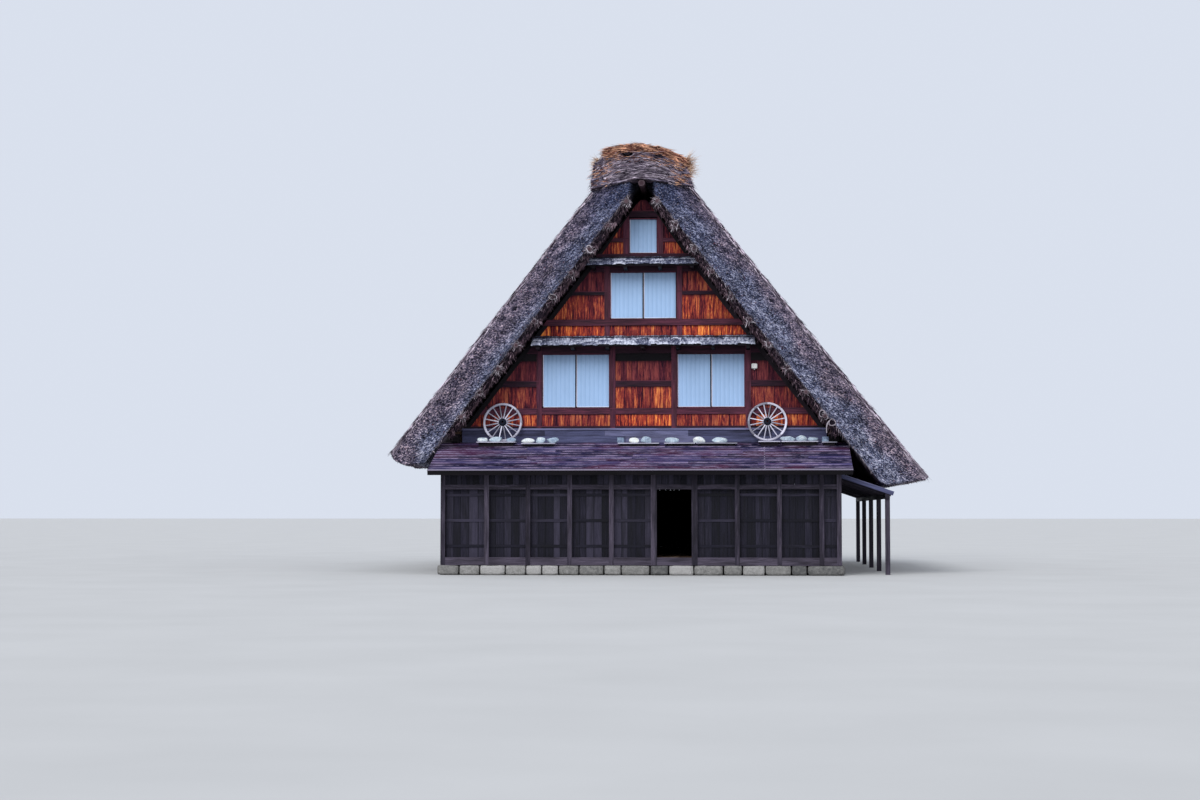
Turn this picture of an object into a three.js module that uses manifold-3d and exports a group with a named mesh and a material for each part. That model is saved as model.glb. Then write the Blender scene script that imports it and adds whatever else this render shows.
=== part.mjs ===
// A thatched timber farmhouse with a steep gabled roof, in millimetres.
// X runs across the gable, Y from the front gable to the back one, and Z up from the ground.
import * as THREE from "three";
import { mergeVertices } from "three/addons/utils/BufferGeometryUtils.js";
import Module from "manifold-3d";

// Plan and storeys
const GABLE_Y = 6000; // outer face of each upper gable wall, from the middle of the house
const SIDE_WALL_X = 5100; // outer face of each side wall
const FRONT_WALL_Y = 7900; // outer face of the ground storey's end walls
const WALL_THICKNESS = 120;
const BOARD_THICKNESS = 40;
const BOARD_RECESS = 30; // boards lie this far behind the face of the posts
const FOOTING_TOP = 250;
const FOOTING_LEDGE = 90; // footing beyond each face of the wall on it
const GROUND_FLOOR_Z = 450;
const PLATE_Z = 3450; // top of the side walls, under the second floor's beams
const SECOND_FLOOR_Z = 3800;
const THIRD_FLOOR_Z = 6100;
const FOURTH_FLOOR_Z = 8200;
const DECK = 60;
const JOIST_PITCH = 1500; // joists under the ground floor
const JOISTS_EACH_WAY = 5;
const FIT = 0.3; // clearance between sloping faces that rest on each other

// Roof section. "Run" is the distance from the plane of the ridge, on either side.
const UNDERSIDE_APEX_Z = 10340;
const PITCH = 1.3; // rise of the thatch's underside for each unit of run
const THATCH_Y = 6800;
const RIDGE_BEAM_Z = 10125;
const RIDGE_BEAM_RADIUS = 100;
const LEFT_EAVE = { ridgeRun: 1300, ridgeZ: 10015, lip: [6610, 3170], toe: [6190, 2800], heel: [5690, 2850] };
const RIGHT_EAVE = { ridgeRun: 1320, ridgeZ: 9985, lip: [7380, 2520], toe: [7300, 2440], heel: [6310, 2290] };
const LEFT_HEEL_RUN = 5450; // where each foot turns up to the underside
const RIGHT_HEEL_RUN = 6140;

// Roof frame
const PURLIN = 110;
const PURLIN_COUNT = 10;
const LOWEST_PURLIN_Z = 4120;
const PURLIN_RISE = 626;
const PURLIN_Y = 6760;
const PURLIN_NOTCH = 20;
const RAFTER_DEPTH = 200;
const RAFTER_WIDTH = 180;
const RAFTER_PITCH = 1400;
const VERGE_RAFTER_Y = 6650;
const VERGE_RAFTER = 100;
const WALL_INSET = 210; // from the thatch's underside to the sloping edge of a gable wall

// Lean-to roofs over both ends of the ground storey, and the one along the right side
const LEANTO_TOP_Z = 3440;
const LEANTO_RUN = 2400;
const LEANTO_SLOPE = 0.325;
const LEANTO_HALF_WIDTH = 5370;
const LEANTO_RAFTER = 90;
const SIDE_LEANTO = { innerZ: 2560, outerX: 6450, slope: 0.338, halfLength: 7200, postX: 6300, posts: 5 };

// Gable frame: post centres, and rails as [bottom, top]
const POST = 140;
const POSTS_SECOND = [-2760, -810, 810, 2760];
const POSTS_THIRD = [-960, 960];
const POSTS_FOURTH = [-455, 455];
const SILL_RAIL = [4180, 4340];
const MIDDLE_RAIL = [4910, 5070];
const STOREY_Z = [3810, 6000, 8100, 9870];
const POST_PITCH = 1065; // ground storey posts
const FIRST_POST_X = 4600;
const DOOR_HEIGHT = 1730;

const WHEEL_RADIUS = 520;
const WHEEL_TILT = THREE.MathUtils.degToRad(9);
const SPOKES = 16;
// Boards under the wheels: near and far are distances out from the gable wall
const WHEEL_BOARD = { topZ: 3450, thickness: 30, near: 30, far: 450, overhang: 80, packing: 60 };

const wasm = await Module();
wasm.setup();

const paint = (color, roughness) => new THREE.MeshStandardMaterial({ color, roughness, metalness: 0 });
const COLOURS = {
  stone: [0x8a8985, 0.9],
  cedar: [0x8e4a26, 0.7],
  darkWood: [0x3b2723, 0.75],
  floorWood: [0x6a4a35, 0.8],
  shutter: [0x4a3f40, 0.8],
  plank: [0x5a4652, 0.6],
  slatePlank: [0x4d5463, 0.6],
  bark: [0x98928d, 0.9],
  sheet: [0xb7c8da, 0.45],
  log: [0x6b4a38, 0.8],
  thatch: [0x5d5552, 0.95],
  cap: [0x6c5c50, 0.95],
  straw: [0x9c5f3a, 0.95],
  greyWood: [0xa7a3a0, 0.8],
  white: [0xd8d6d0, 0.5],
};

// Meshes and solids

function boxGeometry([x0, x1], [y0, y1], [z0, z1]) {
  const box = new THREE.BoxGeometry(x1 - x0, y1 - y0, z1 - z0);
  return box.translate((x0 + x1) / 2, (y0 + y1) / 2, (z0 + z1) / 2);
}

function extrude(points, depth, basis) {
  const shape = new THREE.Shape(points.map(([a, b]) => new THREE.Vector2(a, b)));
  return new THREE.ExtrudeGeometry(shape, { depth, bevelEnabled: false }).applyMatrix4(basis);
}

// An outline in X and Z, drawn out along Y.
function alongY(points, [y0, y1]) {
  const basis = new THREE.Matrix4().makeBasis(
    new THREE.Vector3(1, 0, 0),
    new THREE.Vector3(0, 0, 1),
    new THREE.Vector3(0, -1, 0),
  );
  return extrude(points, y1 - y0, basis).translate(0, y1, 0);
}

// An outline in Y and Z, drawn out along X.
function alongX(points, [x0, x1]) {
  const basis = new THREE.Matrix4().makeBasis(
    new THREE.Vector3(0, 1, 0),
    new THREE.Vector3(0, 0, 1),
    new THREE.Vector3(1, 0, 0),
  );
  return extrude(points, x1 - x0, basis).translate(x0, 0, 0);
}

function solid(geometry) {
  geometry.deleteAttribute("normal");
  geometry.deleteAttribute("uv");
  const merged = mergeVertices(geometry, 1e-3);
  const vertProperties = merged.attributes.position.array;
  const triVerts = new Uint32Array(merged.index.array);
  return new wasm.Manifold(new wasm.Mesh({ numProp: 3, vertProperties, triVerts }));
}

function join(geometries) {
  return geometries.map(solid).reduce((whole, next) => whole.add(next));
}

function geometryOf(manifold) {
  const { vertProperties, triVerts } = manifold.getMesh();
  const geometry = new THREE.BufferGeometry();
  geometry.setAttribute("position", new THREE.BufferAttribute(vertProperties, 3));
  geometry.setIndex(new THREE.BufferAttribute(triVerts, 1));
  geometry.computeVertexNormals();
  return geometry;
}

function part(name, shape, colour) {
  const geometry = shape.isBufferGeometry ? shape : geometryOf(shape);
  const mesh = new THREE.Mesh(geometry, paint(...COLOURS[colour]));
  mesh.name = name;
  return mesh;
}

// Roof section

const drop = (inset) => inset * Math.hypot(1, PITCH);
const heightAt = (run, inset) => UNDERSIDE_APEX_Z - drop(inset) - PITCH * run;
const runAt = (z, inset) => (UNDERSIDE_APEX_Z - drop(inset) - z) / PITCH;
const mirrored = (points, side) => points.map(([run, z]) => [side * run, z]);

const CAP_UNDER_Z = RIDGE_BEAM_Z + RIDGE_BEAM_RADIUS * Math.cos(Math.PI / 8) + FIT;

function thatch(name, side, eave, heelRun) {
  const outline = [
    [runAt(CAP_UNDER_Z - FIT, 0), CAP_UNDER_Z - FIT],
    [eave.ridgeRun, eave.ridgeZ - FIT],
    eave.lip,
    eave.toe,
    eave.heel,
    [heelRun, heightAt(heelRun, 0)],
  ];
  return part(name, alongY(mirrored(outline, side), [-THATCH_Y, THATCH_Y]), "thatch");
}

// The rounded top of the cap, from left to right, where the mat lies.
const CAP_CROWN = [[-930, 10915], [-480, 11000], [0, 11025], [600, 10900], [1130, 10650]];
const CAP_Y = THATCH_Y + 50;
const MAT_THICKNESS = 155;

function ridgeCap() {
  const flat = runAt(CAP_UNDER_Z, 0);
  const outline = [
    [-flat, CAP_UNDER_Z],
    [-LEFT_EAVE.ridgeRun, LEFT_EAVE.ridgeZ],
    [-1245, 10560],
    [-1130, 10780],
    ...CAP_CROWN,
    [1205, 10400],
    [RIGHT_EAVE.ridgeRun, RIGHT_EAVE.ridgeZ],
    [flat, CAP_UNDER_Z],
  ];
  return part("ridge_cap", alongY(outline, [-CAP_Y, CAP_Y]), "cap");
}

function ridgeMat() {
  const under = CAP_CROWN.map(([x, z]) => [x, z + FIT]);
  const top = CAP_CROWN.map(([x, z]) => [x, z + MAT_THICKNESS]);
  return part("ridge_mat", alongY([...under, ...top.reverse()], [-CAP_Y, CAP_Y]), "straw");
}

function ridgeBeamGeometry(radius, halfLength) {
  const beam = new THREE.CylinderGeometry(radius, radius, 2 * halfLength, 8);
  return beam.rotateY(Math.PI / 8).translate(0, 0, RIDGE_BEAM_Z);
}

function purlinOutline(index) {
  const z = LOWEST_PURLIN_Z + index * PURLIN_RISE;
  const slope = new THREE.Vector2(1, -PITCH).normalize();
  const inward = new THREE.Vector2(-PITCH, -1).normalize();
  const top = new THREE.Vector2(runAt(z, 0), z).addScaledVector(inward, FIT);
  const corners = [[-0.5, 0], [0.5, 0], [0.5, 1], [-0.5, 1]];
  return corners.map(([along, into]) => {
    const corner = top.clone().addScaledVector(slope, along * PURLIN).addScaledVector(inward, into * PURLIN);
    return corner.toArray();
  });
}

const RAFTER_TOP_INSET = FIT + PURLIN - PURLIN_NOTCH;

function rafterOutline(depth, footZ) {
  const foot = footZ + FIT;
  return [
    [FIT, heightAt(FIT, RAFTER_TOP_INSET)],
    [runAt(foot, RAFTER_TOP_INSET), foot],
    [runAt(foot, RAFTER_TOP_INSET + depth), foot],
    [FIT, heightAt(FIT, RAFTER_TOP_INSET + depth)],
  ];
}

const INNER_RAFTERS = [-3, -2, -1, 0, 1, 2, 3].map((index) => index * RAFTER_PITCH);
const spanAround = (centre, width) => [centre - width / 2, centre + width / 2];

function roofFrame(name, side) {
  const bars = [];
  for (let index = 0; index < PURLIN_COUNT; index += 1) {
    bars.push(alongY(mirrored(purlinOutline(index), side), [-PURLIN_Y, PURLIN_Y]));
  }
  const foot = SECOND_FLOOR_Z - DECK;
  for (const y of INNER_RAFTERS) {
    bars.push(alongY(mirrored(rafterOutline(RAFTER_DEPTH, foot), side), spanAround(y, RAFTER_WIDTH)));
  }
  for (const y of [-VERGE_RAFTER_Y, VERGE_RAFTER_Y]) {
    bars.push(alongY(mirrored(rafterOutline(VERGE_RAFTER, foot), side), spanAround(y, VERGE_RAFTER)));
  }
  const seat = solid(ridgeBeamGeometry(RIDGE_BEAM_RADIUS + FIT, THATCH_Y + WALL_THICKNESS));
  return part(name, join(bars).subtract(seat), "log");
}

// Floors

function upperFloor(name, z) {
  const inset = RAFTER_TOP_INSET + RAFTER_DEPTH + FIT;
  const slab = (top, thickness) => {
    const bottom = top - thickness;
    const outer = runAt(bottom, inset);
    const inner = runAt(top, inset);
    return [[-outer, bottom], [outer, bottom], [inner, top], [-inner, top]];
  };
  const inside = GABLE_Y - WALL_THICKNESS;
  const pieces = [alongY(slab(z, DECK), [-inside, inside])];
  for (const y of INNER_RAFTERS) {
    pieces.push(alongY(slab(z - DECK / 2, DECK + 140), spanAround(y, RAFTER_WIDTH)));
  }
  return part(name, join(pieces), "floorWood");
}

function secondFloor() {
  const inside = GABLE_Y - WALL_THICKNESS;
  const beamTop = SECOND_FLOOR_Z - DECK;
  const deckX = runAt(SECOND_FLOOR_Z, RAFTER_TOP_INSET + RAFTER_DEPTH) - DECK;
  const pieces = [boxGeometry([-deckX, deckX], [-inside, inside], [beamTop, SECOND_FLOOR_Z])];
  const beamX = SIDE_WALL_X - 40;
  const endBeam = inside - RAFTER_WIDTH / 2;
  for (const y of [-endBeam, ...INNER_RAFTERS, endBeam]) {
    pieces.push(boxGeometry([-beamX, beamX], spanAround(y, RAFTER_WIDTH), [PLATE_Z, beamTop]));
  }
  return part("second_floor", join(pieces), "floorWood");
}

function groundFloor() {
  const x = SIDE_WALL_X - WALL_THICKNESS;
  const y = FRONT_WALL_Y - WALL_THICKNESS;
  const pieces = [boxGeometry([-x, x], [-y, y], [GROUND_FLOOR_Z - DECK, GROUND_FLOOR_Z])];
  const joistZ = [FOOTING_TOP, GROUND_FLOOR_Z - DECK];
  for (let index = -JOISTS_EACH_WAY; index <= JOISTS_EACH_WAY; index += 1) {
    pieces.push(boxGeometry([-x, x], spanAround(index * JOIST_PITCH, POST), joistZ));
  }
  return part("ground_floor", join(pieces), "floorWood");
}

// Ground storey

function footings() {
  const outerX = SIDE_WALL_X + FOOTING_LEDGE;
  const innerX = SIDE_WALL_X - WALL_THICKNESS - FOOTING_LEDGE;
  const outerY = FRONT_WALL_Y + FOOTING_LEDGE;
  const innerY = FRONT_WALL_Y - WALL_THICKNESS - FOOTING_LEDGE;
  const height = [0, FOOTING_TOP];
  return [
    part("front_footing", boxGeometry([-outerX, outerX], [-outerY, -innerY], height), "stone"),
    part("back_footing", boxGeometry([-outerX, outerX], [innerY, outerY], height), "stone"),
    part("left_footing", boxGeometry([-outerX, -innerX], [-innerY, innerY], height), "stone"),
    part("right_footing", boxGeometry([innerX, outerX], [-innerY, innerY], height), "stone"),
  ];
}

const leantoUnder = (y) => LEANTO_TOP_Z - LEANTO_SLOPE * (Math.abs(y) - GABLE_Y) - DECK;
const DOOR_TOP = GROUND_FLOOR_Z + DOOR_HEIGHT;
const BAY_HALF = 1975; // half of the shuttered opening in each side wall

function sideWall(name, side) {
  const outer = SIDE_WALL_X;
  const inner = SIDE_WALL_X - WALL_THICKNESS;
  const span = ([a, b]) => (side > 0 ? [a, b] : [-b, -a]);
  const board = span([outer - BOARD_RECESS - BOARD_THICKNESS, outer - BOARD_RECESS]);
  const frame = span([inner, outer]);
  const whole = [-FRONT_WALL_Y, FRONT_WALL_Y];
  const outline = [
    [-FRONT_WALL_Y, FOOTING_TOP],
    [FRONT_WALL_Y, FOOTING_TOP],
    [FRONT_WALL_Y, leantoUnder(FRONT_WALL_Y) - FIT],
    [GABLE_Y, leantoUnder(GABLE_Y) - FIT],
    [GABLE_Y, PLATE_Z],
    [-GABLE_Y, PLATE_Z],
    [-GABLE_Y, leantoUnder(GABLE_Y) - FIT],
    [-FRONT_WALL_Y, leantoUnder(FRONT_WALL_Y) - FIT],
  ];
  const pieces = [
    boxGeometry(board, whole, [FOOTING_TOP, PLATE_Z]),
    boxGeometry(frame, whole, [FOOTING_TOP, GROUND_FLOOR_Z]),
    boxGeometry(frame, whole, [DOOR_TOP, DOOR_TOP + WALL_THICKNESS]),
    boxGeometry(frame, [-GABLE_Y, GABLE_Y], [PLATE_Z - 200, PLATE_Z]),
  ];
  for (let index = -4; index <= 4; index += 1) {
    const centre = (index * (FRONT_WALL_Y - WALL_THICKNESS / 2)) / 4;
    pieces.push(boxGeometry(frame, spanAround(centre, WALL_THICKNESS), [FOOTING_TOP, PLATE_Z]));
  }
  const bay = (FRONT_WALL_Y - WALL_THICKNESS / 2) / 4;
  const through = span([inner - 1, outer + 1]);
  const opening = (from, to) => solid(boxGeometry(through, [from, to], [GROUND_FLOOR_Z, DOOR_TOP]));
  const half = WALL_THICKNESS / 2;
  return part(
    name,
    join(pieces)
      .intersect(solid(alongX(outline, frame)))
      .subtract(opening(-bay + half, -half))
      .subtract(opening(half, bay - half)),
    "darkWood",
  );
}

function sideShutters(name, side) {
  const inner = SIDE_WALL_X - WALL_THICKNESS;
  const span = side > 0 ? [inner - BOARD_THICKNESS, inner] : [-inner, -inner + BOARD_THICKNESS];
  return part(name, boxGeometry(span, [-BAY_HALF, BAY_HALF], [GROUND_FLOOR_Z, DOOR_TOP + DECK]), "shutter");
}

const postsX = () => {
  const places = [];
  for (let x = FIRST_POST_X; x > -SIDE_WALL_X + POST_PITCH / 2; x -= POST_PITCH) {
    places.push(x);
  }
  return places;
};
const DOORWAY_LEFT_POST = FIRST_POST_X - 4 * POST_PITCH;
const DOORWAY_RIGHT_POST = FIRST_POST_X - 3 * POST_PITCH;

// The ground storey's end wall, drawn as the front one: its outside faces -Y.
function endWall() {
  const x = SIDE_WALL_X - WALL_THICKNESS;
  const frame = [-FRONT_WALL_Y, -FRONT_WALL_Y + WALL_THICKNESS];
  const board = [frame[0] + BOARD_RECESS, frame[0] + BOARD_RECESS + BOARD_THICKNESS];
  const top = leantoUnder(FRONT_WALL_Y) - LEANTO_RAFTER - FIT;
  const pieces = [
    boxGeometry([-x, x], frame, [FOOTING_TOP, GROUND_FLOOR_Z]),
    boxGeometry([-x, x], frame, [DOOR_TOP, DOOR_TOP + WALL_THICKNESS]),
    boxGeometry([-x, x], frame, [top - WALL_THICKNESS, top]),
    boxGeometry([-x, x], board, [DOOR_TOP, top]),
  ];
  for (const centre of postsX()) {
    pieces.push(boxGeometry(spanAround(centre, WALL_THICKNESS), frame, [FOOTING_TOP, top]));
  }
  return { wall: join(pieces), frame, top };
}

// The front wall comes in three: beside the doorway, and the frame of the doorway itself.
function frontWall() {
  const { wall, frame, top } = endWall();
  const half = WALL_THICKNESS / 2;
  const jamb = 30;
  const doorX = [DOORWAY_LEFT_POST + half, DOORWAY_RIGHT_POST - half];
  const within = (x) => wall.intersect(solid(boxGeometry(x, [frame[0] - 1, frame[1] + 1], [0, top + 1])));
  const jambs = [[doorX[0], doorX[0] + jamb], [doorX[1] - jamb, doorX[1]]];
  const linings = jambs.map((x) => boxGeometry(x, frame, [FOOTING_TOP, top]));
  return [
    part("front_wall_left", within([-SIDE_WALL_X, doorX[0]]), "darkWood"),
    part("front_wall_right", within([doorX[1], SIDE_WALL_X]), "darkWood"),
    part("front_door_frame", within(doorX).add(join(linings)), "darkWood"),
  ];
}

function endShutters(end) {
  const x = SIDE_WALL_X - WALL_THICKNESS;
  const inner = -FRONT_WALL_Y + WALL_THICKNESS;
  const y = [inner, inner + BOARD_THICKNESS];
  const z = [GROUND_FLOOR_Z, DOOR_TOP + DECK];
  const half = WALL_THICKNESS / 2;
  const doorway = end === "front";
  const rightEdge = doorway ? DOORWAY_RIGHT_POST - half : DOORWAY_LEFT_POST + half;
  const pieces = [
    part(`${end}_shutters_left`, boxGeometry([-x, DOORWAY_LEFT_POST + half], y, z), "shutter"),
    part(`${end}_shutters_right`, boxGeometry([rightEdge, x], y, z), "shutter"),
  ];
  if (doorway) {
    const leafY = [y[1], y[1] + BOARD_THICKNESS];
    pieces.push(part("entrance_door", boxGeometry([rightEdge, rightEdge + 1000], leafY, z), "floorWood"));
  }
  return pieces;
}

// The lean-to roof over an end of the ground storey, with its rafters.
function endLeanto(name) {
  const slope = (inset, length) => [
    [-GABLE_Y, LEANTO_TOP_Z - inset],
    [-GABLE_Y - length, LEANTO_TOP_Z - inset - LEANTO_SLOPE * length],
  ];
  const band = (top, bottom, length) => [...slope(top, length), ...slope(bottom, length).reverse()];
  const pieces = [alongX(band(0, DECK, LEANTO_RUN), [-LEANTO_HALF_WIDTH, LEANTO_HALF_WIDTH])];
  for (const centre of postsX()) {
    const rafter = band(DECK / 2, DECK + LEANTO_RAFTER, LEANTO_RUN - 40);
    pieces.push(alongX(rafter, spanAround(centre, 70)));
  }
  const clear = LEANTO_HALF_WIDTH - 70;
  const notch = (side) => {
    const x = side > 0 ? [clear, LEANTO_HALF_WIDTH + 1] : [-LEANTO_HALF_WIDTH - 1, -clear];
    return solid(boxGeometry(x, [-GABLE_Y - 320, -GABLE_Y + 1], [PLATE_Z - 400, PLATE_Z]));
  };
  return part(name, join(pieces).subtract(notch(1)).subtract(notch(-1)), "plank");
}

function sideLeanto() {
  const { innerZ, outerX, slope, halfLength, postX, posts } = SIDE_LEANTO;
  const topAt = (x) => innerZ - slope * (x - SIDE_WALL_X);
  const deck = [
    [SIDE_WALL_X, topAt(SIDE_WALL_X)],
    [outerX, topAt(outerX)],
    [outerX, topAt(outerX) - DECK],
    [SIDE_WALL_X, topAt(SIDE_WALL_X) - DECK],
  ];
  const y = [-halfLength, halfLength];
  const plateX = spanAround(postX, WALL_THICKNESS);
  const plateTop = topAt(plateX[1]) - DECK / 2;
  const pieces = [alongY(deck, y), boxGeometry(plateX, y, [plateTop - 160, plateTop])];
  for (let index = 0; index < posts; index += 1) {
    const centre = -halfLength + 100 + (index * (2 * halfLength - 200)) / (posts - 1);
    pieces.push(boxGeometry(plateX, spanAround(centre, WALL_THICKNESS), [0, plateTop - 80]));
  }
  return part("right_leanto_roof", join(pieces), "plank");
}

// Upper gable walls, drawn as the front ones

const FACE_Y = -GABLE_Y;
const FRAME_Y = [FACE_Y, FACE_Y + WALL_THICKNESS];
const BOARD_Y = [FACE_Y + BOARD_RECESS, FACE_Y + BOARD_RECESS + BOARD_THICKNESS];

function gableSill(name) {
  const x = LEANTO_HALF_WIDTH - 560;
  return part(name, boxGeometry([-x, x], FRAME_Y, [LEANTO_TOP_Z - DECK, STOREY_Z[0]]), "slatePlank");
}

// One storey of a gable: boards with posts and rails, cut to the roof's slope, and its windows cut out.
function gableWall(name, [z0, z1], posts, rails, windows) {
  const wide = runAt(z0, WALL_INSET);
  const narrow = runAt(z1, WALL_INSET);
  const outline = [[-wide, z0], [wide, z0], [narrow, z1], [-narrow, z1]];
  const pieces = [boxGeometry([-wide, wide], BOARD_Y, [z0, z1])];
  for (const centre of posts) {
    pieces.push(boxGeometry(spanAround(centre, POST), FRAME_Y, [z0, z1]));
  }
  for (const rail of rails) {
    pieces.push(boxGeometry([-wide, wide], FRAME_Y, rail));
  }
  const cut = (whole, { x, z }) => whole.subtract(solid(boxGeometry(x, [FACE_Y - 1, FRAME_Y[1] + 1], z)));
  const wall = join(pieces).intersect(solid(alongY(outline, FRAME_Y)));
  return part(name, windows.reduce(cut, wall), "cedar");
}

// A window of translucent sheets in a thin frame, with a mullion between two sheets.
function gableWindow(name, { x, z, panels }) {
  const bar = 30;
  const frameY = [BOARD_Y[0], BOARD_Y[0] + 50];
  const pieces = [
    boxGeometry(x, [frameY[0] + 15, frameY[1]], z),
    boxGeometry(x, frameY, [z[0], z[0] + bar]),
    boxGeometry(x, frameY, [z[1] - bar, z[1]]),
    boxGeometry([x[0], x[0] + bar], frameY, z),
    boxGeometry([x[1] - bar, x[1]], frameY, z),
  ];
  if (panels === 2) {
    pieces.push(boxGeometry(spanAround((x[0] + x[1]) / 2, bar), frameY, z));
  }
  return part(name, join(pieces), "sheet");
}

function gableEave(name, halfWidth, topZ, reach, arms) {
  const slope = 0.44;
  const thickness = 50;
  const board = [
    [FACE_Y, topZ],
    [FACE_Y - reach, topZ - slope * reach],
    [FACE_Y - reach, topZ - slope * reach - thickness],
    [FACE_Y, topZ - thickness],
  ];
  const armReach = reach - 60;
  const arm = [
    [FACE_Y, topZ - thickness / 2],
    [FACE_Y - armReach, topZ - slope * armReach - thickness / 2],
    [FACE_Y - armReach, topZ - slope * armReach - 120],
    [FACE_Y, topZ - slope * armReach - 140],
  ];
  const pieces = [alongX(board, [-halfWidth, halfWidth])];
  for (const centre of arms) {
    pieces.push(alongX(arm, spanAround(centre, 90)));
  }
  return part(name, join(pieces), "bark");
}

const LOWER_EAVE_ARMS = [-3, -2, -1, 0, 1, 2, 3].map((index) => index * (POSTS_SECOND[3] / 3));
const SECOND_WINDOW = { z: [SILL_RAIL[1], 5790], panels: 2 };
const WINDOWS = {
  second_left: { x: [-2690, -880], ...SECOND_WINDOW },
  second_right: { x: [880, 2690], ...SECOND_WINDOW },
  third: { x: [-890, 890], z: [6690, 7960], panels: 2 },
  fourth: { x: [-385, 385], z: [8430, 9380], panels: 1 },
};

// Everything that stands at one end of the house, drawn as the front.
function gableEnd(end) {
  const [second, third, fourth, top] = STOREY_Z;
  const secondRails = [[second, second + 60], SILL_RAIL, MIDDLE_RAIL, [5790, third]];
  const thirdRails = [[third, 6250], [6530, 6690], [7340, 7440], [7960, fourth]];
  const fourthRails = [[fourth, 8430], [8750, 8850], [9410, 9580]];
  const { second_left: left, second_right: right } = WINDOWS;
  const pieces = [
    ...(end === "front" ? frontWall() : [part("back_wall", endWall().wall, "darkWood")]),
    ...endShutters(end),
    endLeanto(`${end}_leanto_roof`),
    gableSill(`${end}_gable_sill`),
    gableWall(`${end}_gable_second`, [second, third], POSTS_SECOND, secondRails, [left, right]),
    gableWall(`${end}_gable_third`, [third, fourth], POSTS_THIRD, thirdRails, [WINDOWS.third]),
    gableWall(`${end}_gable_fourth`, [fourth, top], POSTS_FOURTH, fourthRails, [WINDOWS.fourth]),
    gableEave(`${end}_lower_eave`, 2900, 6220, 550, LOWER_EAVE_ARMS),
    gableEave(`${end}_upper_eave`, 1460, 8320, 500, [-1300, ...POSTS_FOURTH, 1300]),
  ];
  for (const [place, opening] of Object.entries(WINDOWS)) {
    pieces.push(gableWindow(`${end}_window_${place}`, opening));
  }
  const group = new THREE.Group().add(...pieces);
  group.rotation.z = end === "back" ? Math.PI : 0;
  return group;
}

// A cart wheel: felloe, spokes and hub about the Y axis, in its own frame.
function wheelSolid() {
  const halfWidth = 30;
  const around = (points, segments) => {
    const profile = points.map(([r, y]) => new THREE.Vector2(r, y));
    return new THREE.LatheGeometry(profile, segments);
  };
  const rim = WHEEL_RADIUS - 55;
  const felloe = [
    [rim, -halfWidth],
    [WHEEL_RADIUS, -halfWidth],
    [WHEEL_RADIUS, halfWidth],
    [rim, halfWidth],
    [rim, -halfWidth],
  ];
  const hub = [[0, -80], [85, -80], [110, -30], [110, 30], [85, 80], [0, 80]];
  const pieces = [around(felloe, 32), around(hub, 16)];
  for (let index = 0; index < SPOKES; index += 1) {
    const spoke = boxGeometry([90, rim + 15], [-14, 14], [-14, 14]);
    pieces.push(spoke.rotateY(((index + 0.5) * 2 * Math.PI) / SPOKES));
  }
  return join(pieces);
}

// A level board on the lean-to roof for a wheel and stones, on two packing pieces cut to the slope.
function wheelBoard(name, [x0, x1]) {
  const { topZ, thickness, near, far, overhang, packing } = WHEEL_BOARD;
  const roofAt = (distance) => LEANTO_TOP_Z - LEANTO_SLOPE * distance + FIT;
  const wedge = [
    [-GABLE_Y - near, roofAt(near)],
    [-GABLE_Y - near, topZ],
    [-GABLE_Y - far, topZ],
    [-GABLE_Y - far, roofAt(far)],
  ];
  const packed = overhang + packing;
  const gaps = [[x0 - 1, x0 + overhang], [x0 + packed, x1 - packed], [x1 - overhang, x1 + 1]];
  const y = [-GABLE_Y - far - 1, -GABLE_Y];
  let board = join([alongX(wedge, [x0, x1])]);
  for (const gap of gaps) {
    board = board.subtract(solid(boxGeometry(gap, y, [topZ - far, topZ - thickness])));
  }
  return part(name, board, "greyWood");
}

// The wheel stands on its board and leans on the rail under the windows.
function wheelCentre() {
  const halfWidth = 30;
  const sine = Math.sin(WHEEL_TILT);
  const cosine = Math.cos(WHEEL_TILT);
  const z = WHEEL_BOARD.topZ + halfWidth * sine + WHEEL_RADIUS * cosine + FIT;
  const lean = (SILL_RAIL[1] - z) * sine + halfWidth + FIT;
  return { y: -GABLE_Y - lean / cosine, z };
}

function cartWheel(name, x) {
  const { y, z } = wheelCentre();
  const wheel = part(name, wheelSolid(), "greyWood");
  wheel.rotation.x = -WHEEL_TILT;
  wheel.position.set(x, y, z);
  return wheel;
}

function wallBox() {
  const face = BOARD_Y[0];
  return part("wall_box", boxGeometry([2850, 3000], [face - 90, face], [5370, 5500]), "white");
}

const house = new THREE.Group();
house.add(
  ...footings(),
  groundFloor(),
  secondFloor(),
  upperFloor("third_floor", THIRD_FLOOR_Z),
  upperFloor("fourth_floor", FOURTH_FLOOR_Z),
  sideWall("left_wall", -1),
  sideWall("right_wall", 1),
  sideShutters("left_shutters", -1),
  sideShutters("right_shutters", 1),
  sideLeanto(),
  gableEnd("front"),
  gableEnd("back"),
  roofFrame("roof_frame_left", -1),
  roofFrame("roof_frame_right", 1),
  part("ridge_beam", ridgeBeamGeometry(RIDGE_BEAM_RADIUS, THATCH_Y + 40), "log"),
  thatch("thatch_left", -1, LEFT_EAVE, LEFT_HEEL_RUN),
  thatch("thatch_right", 1, RIGHT_EAVE, RIGHT_HEEL_RUN),
  ridgeCap(),
  ridgeMat(),
  wheelBoard("wheel_board_left", [-4370, -3350]),
  wheelBoard("wheel_board_right", [3020, 3590]),
  cartWheel("cart_wheel_left", -3720),
  cartWheel("cart_wheel_right", 3260),
  wallBox(),
);
// The origin is under the middle of the whole outline, eave to eave.
house.position.x = (LEFT_EAVE.lip[0] - RIGHT_EAVE.lip[0]) / 2;

export default house;
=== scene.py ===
"""A thatched timber farmhouse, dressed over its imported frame: reed, boards, planks, bark, logs and stones."""
import math
import zlib

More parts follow.
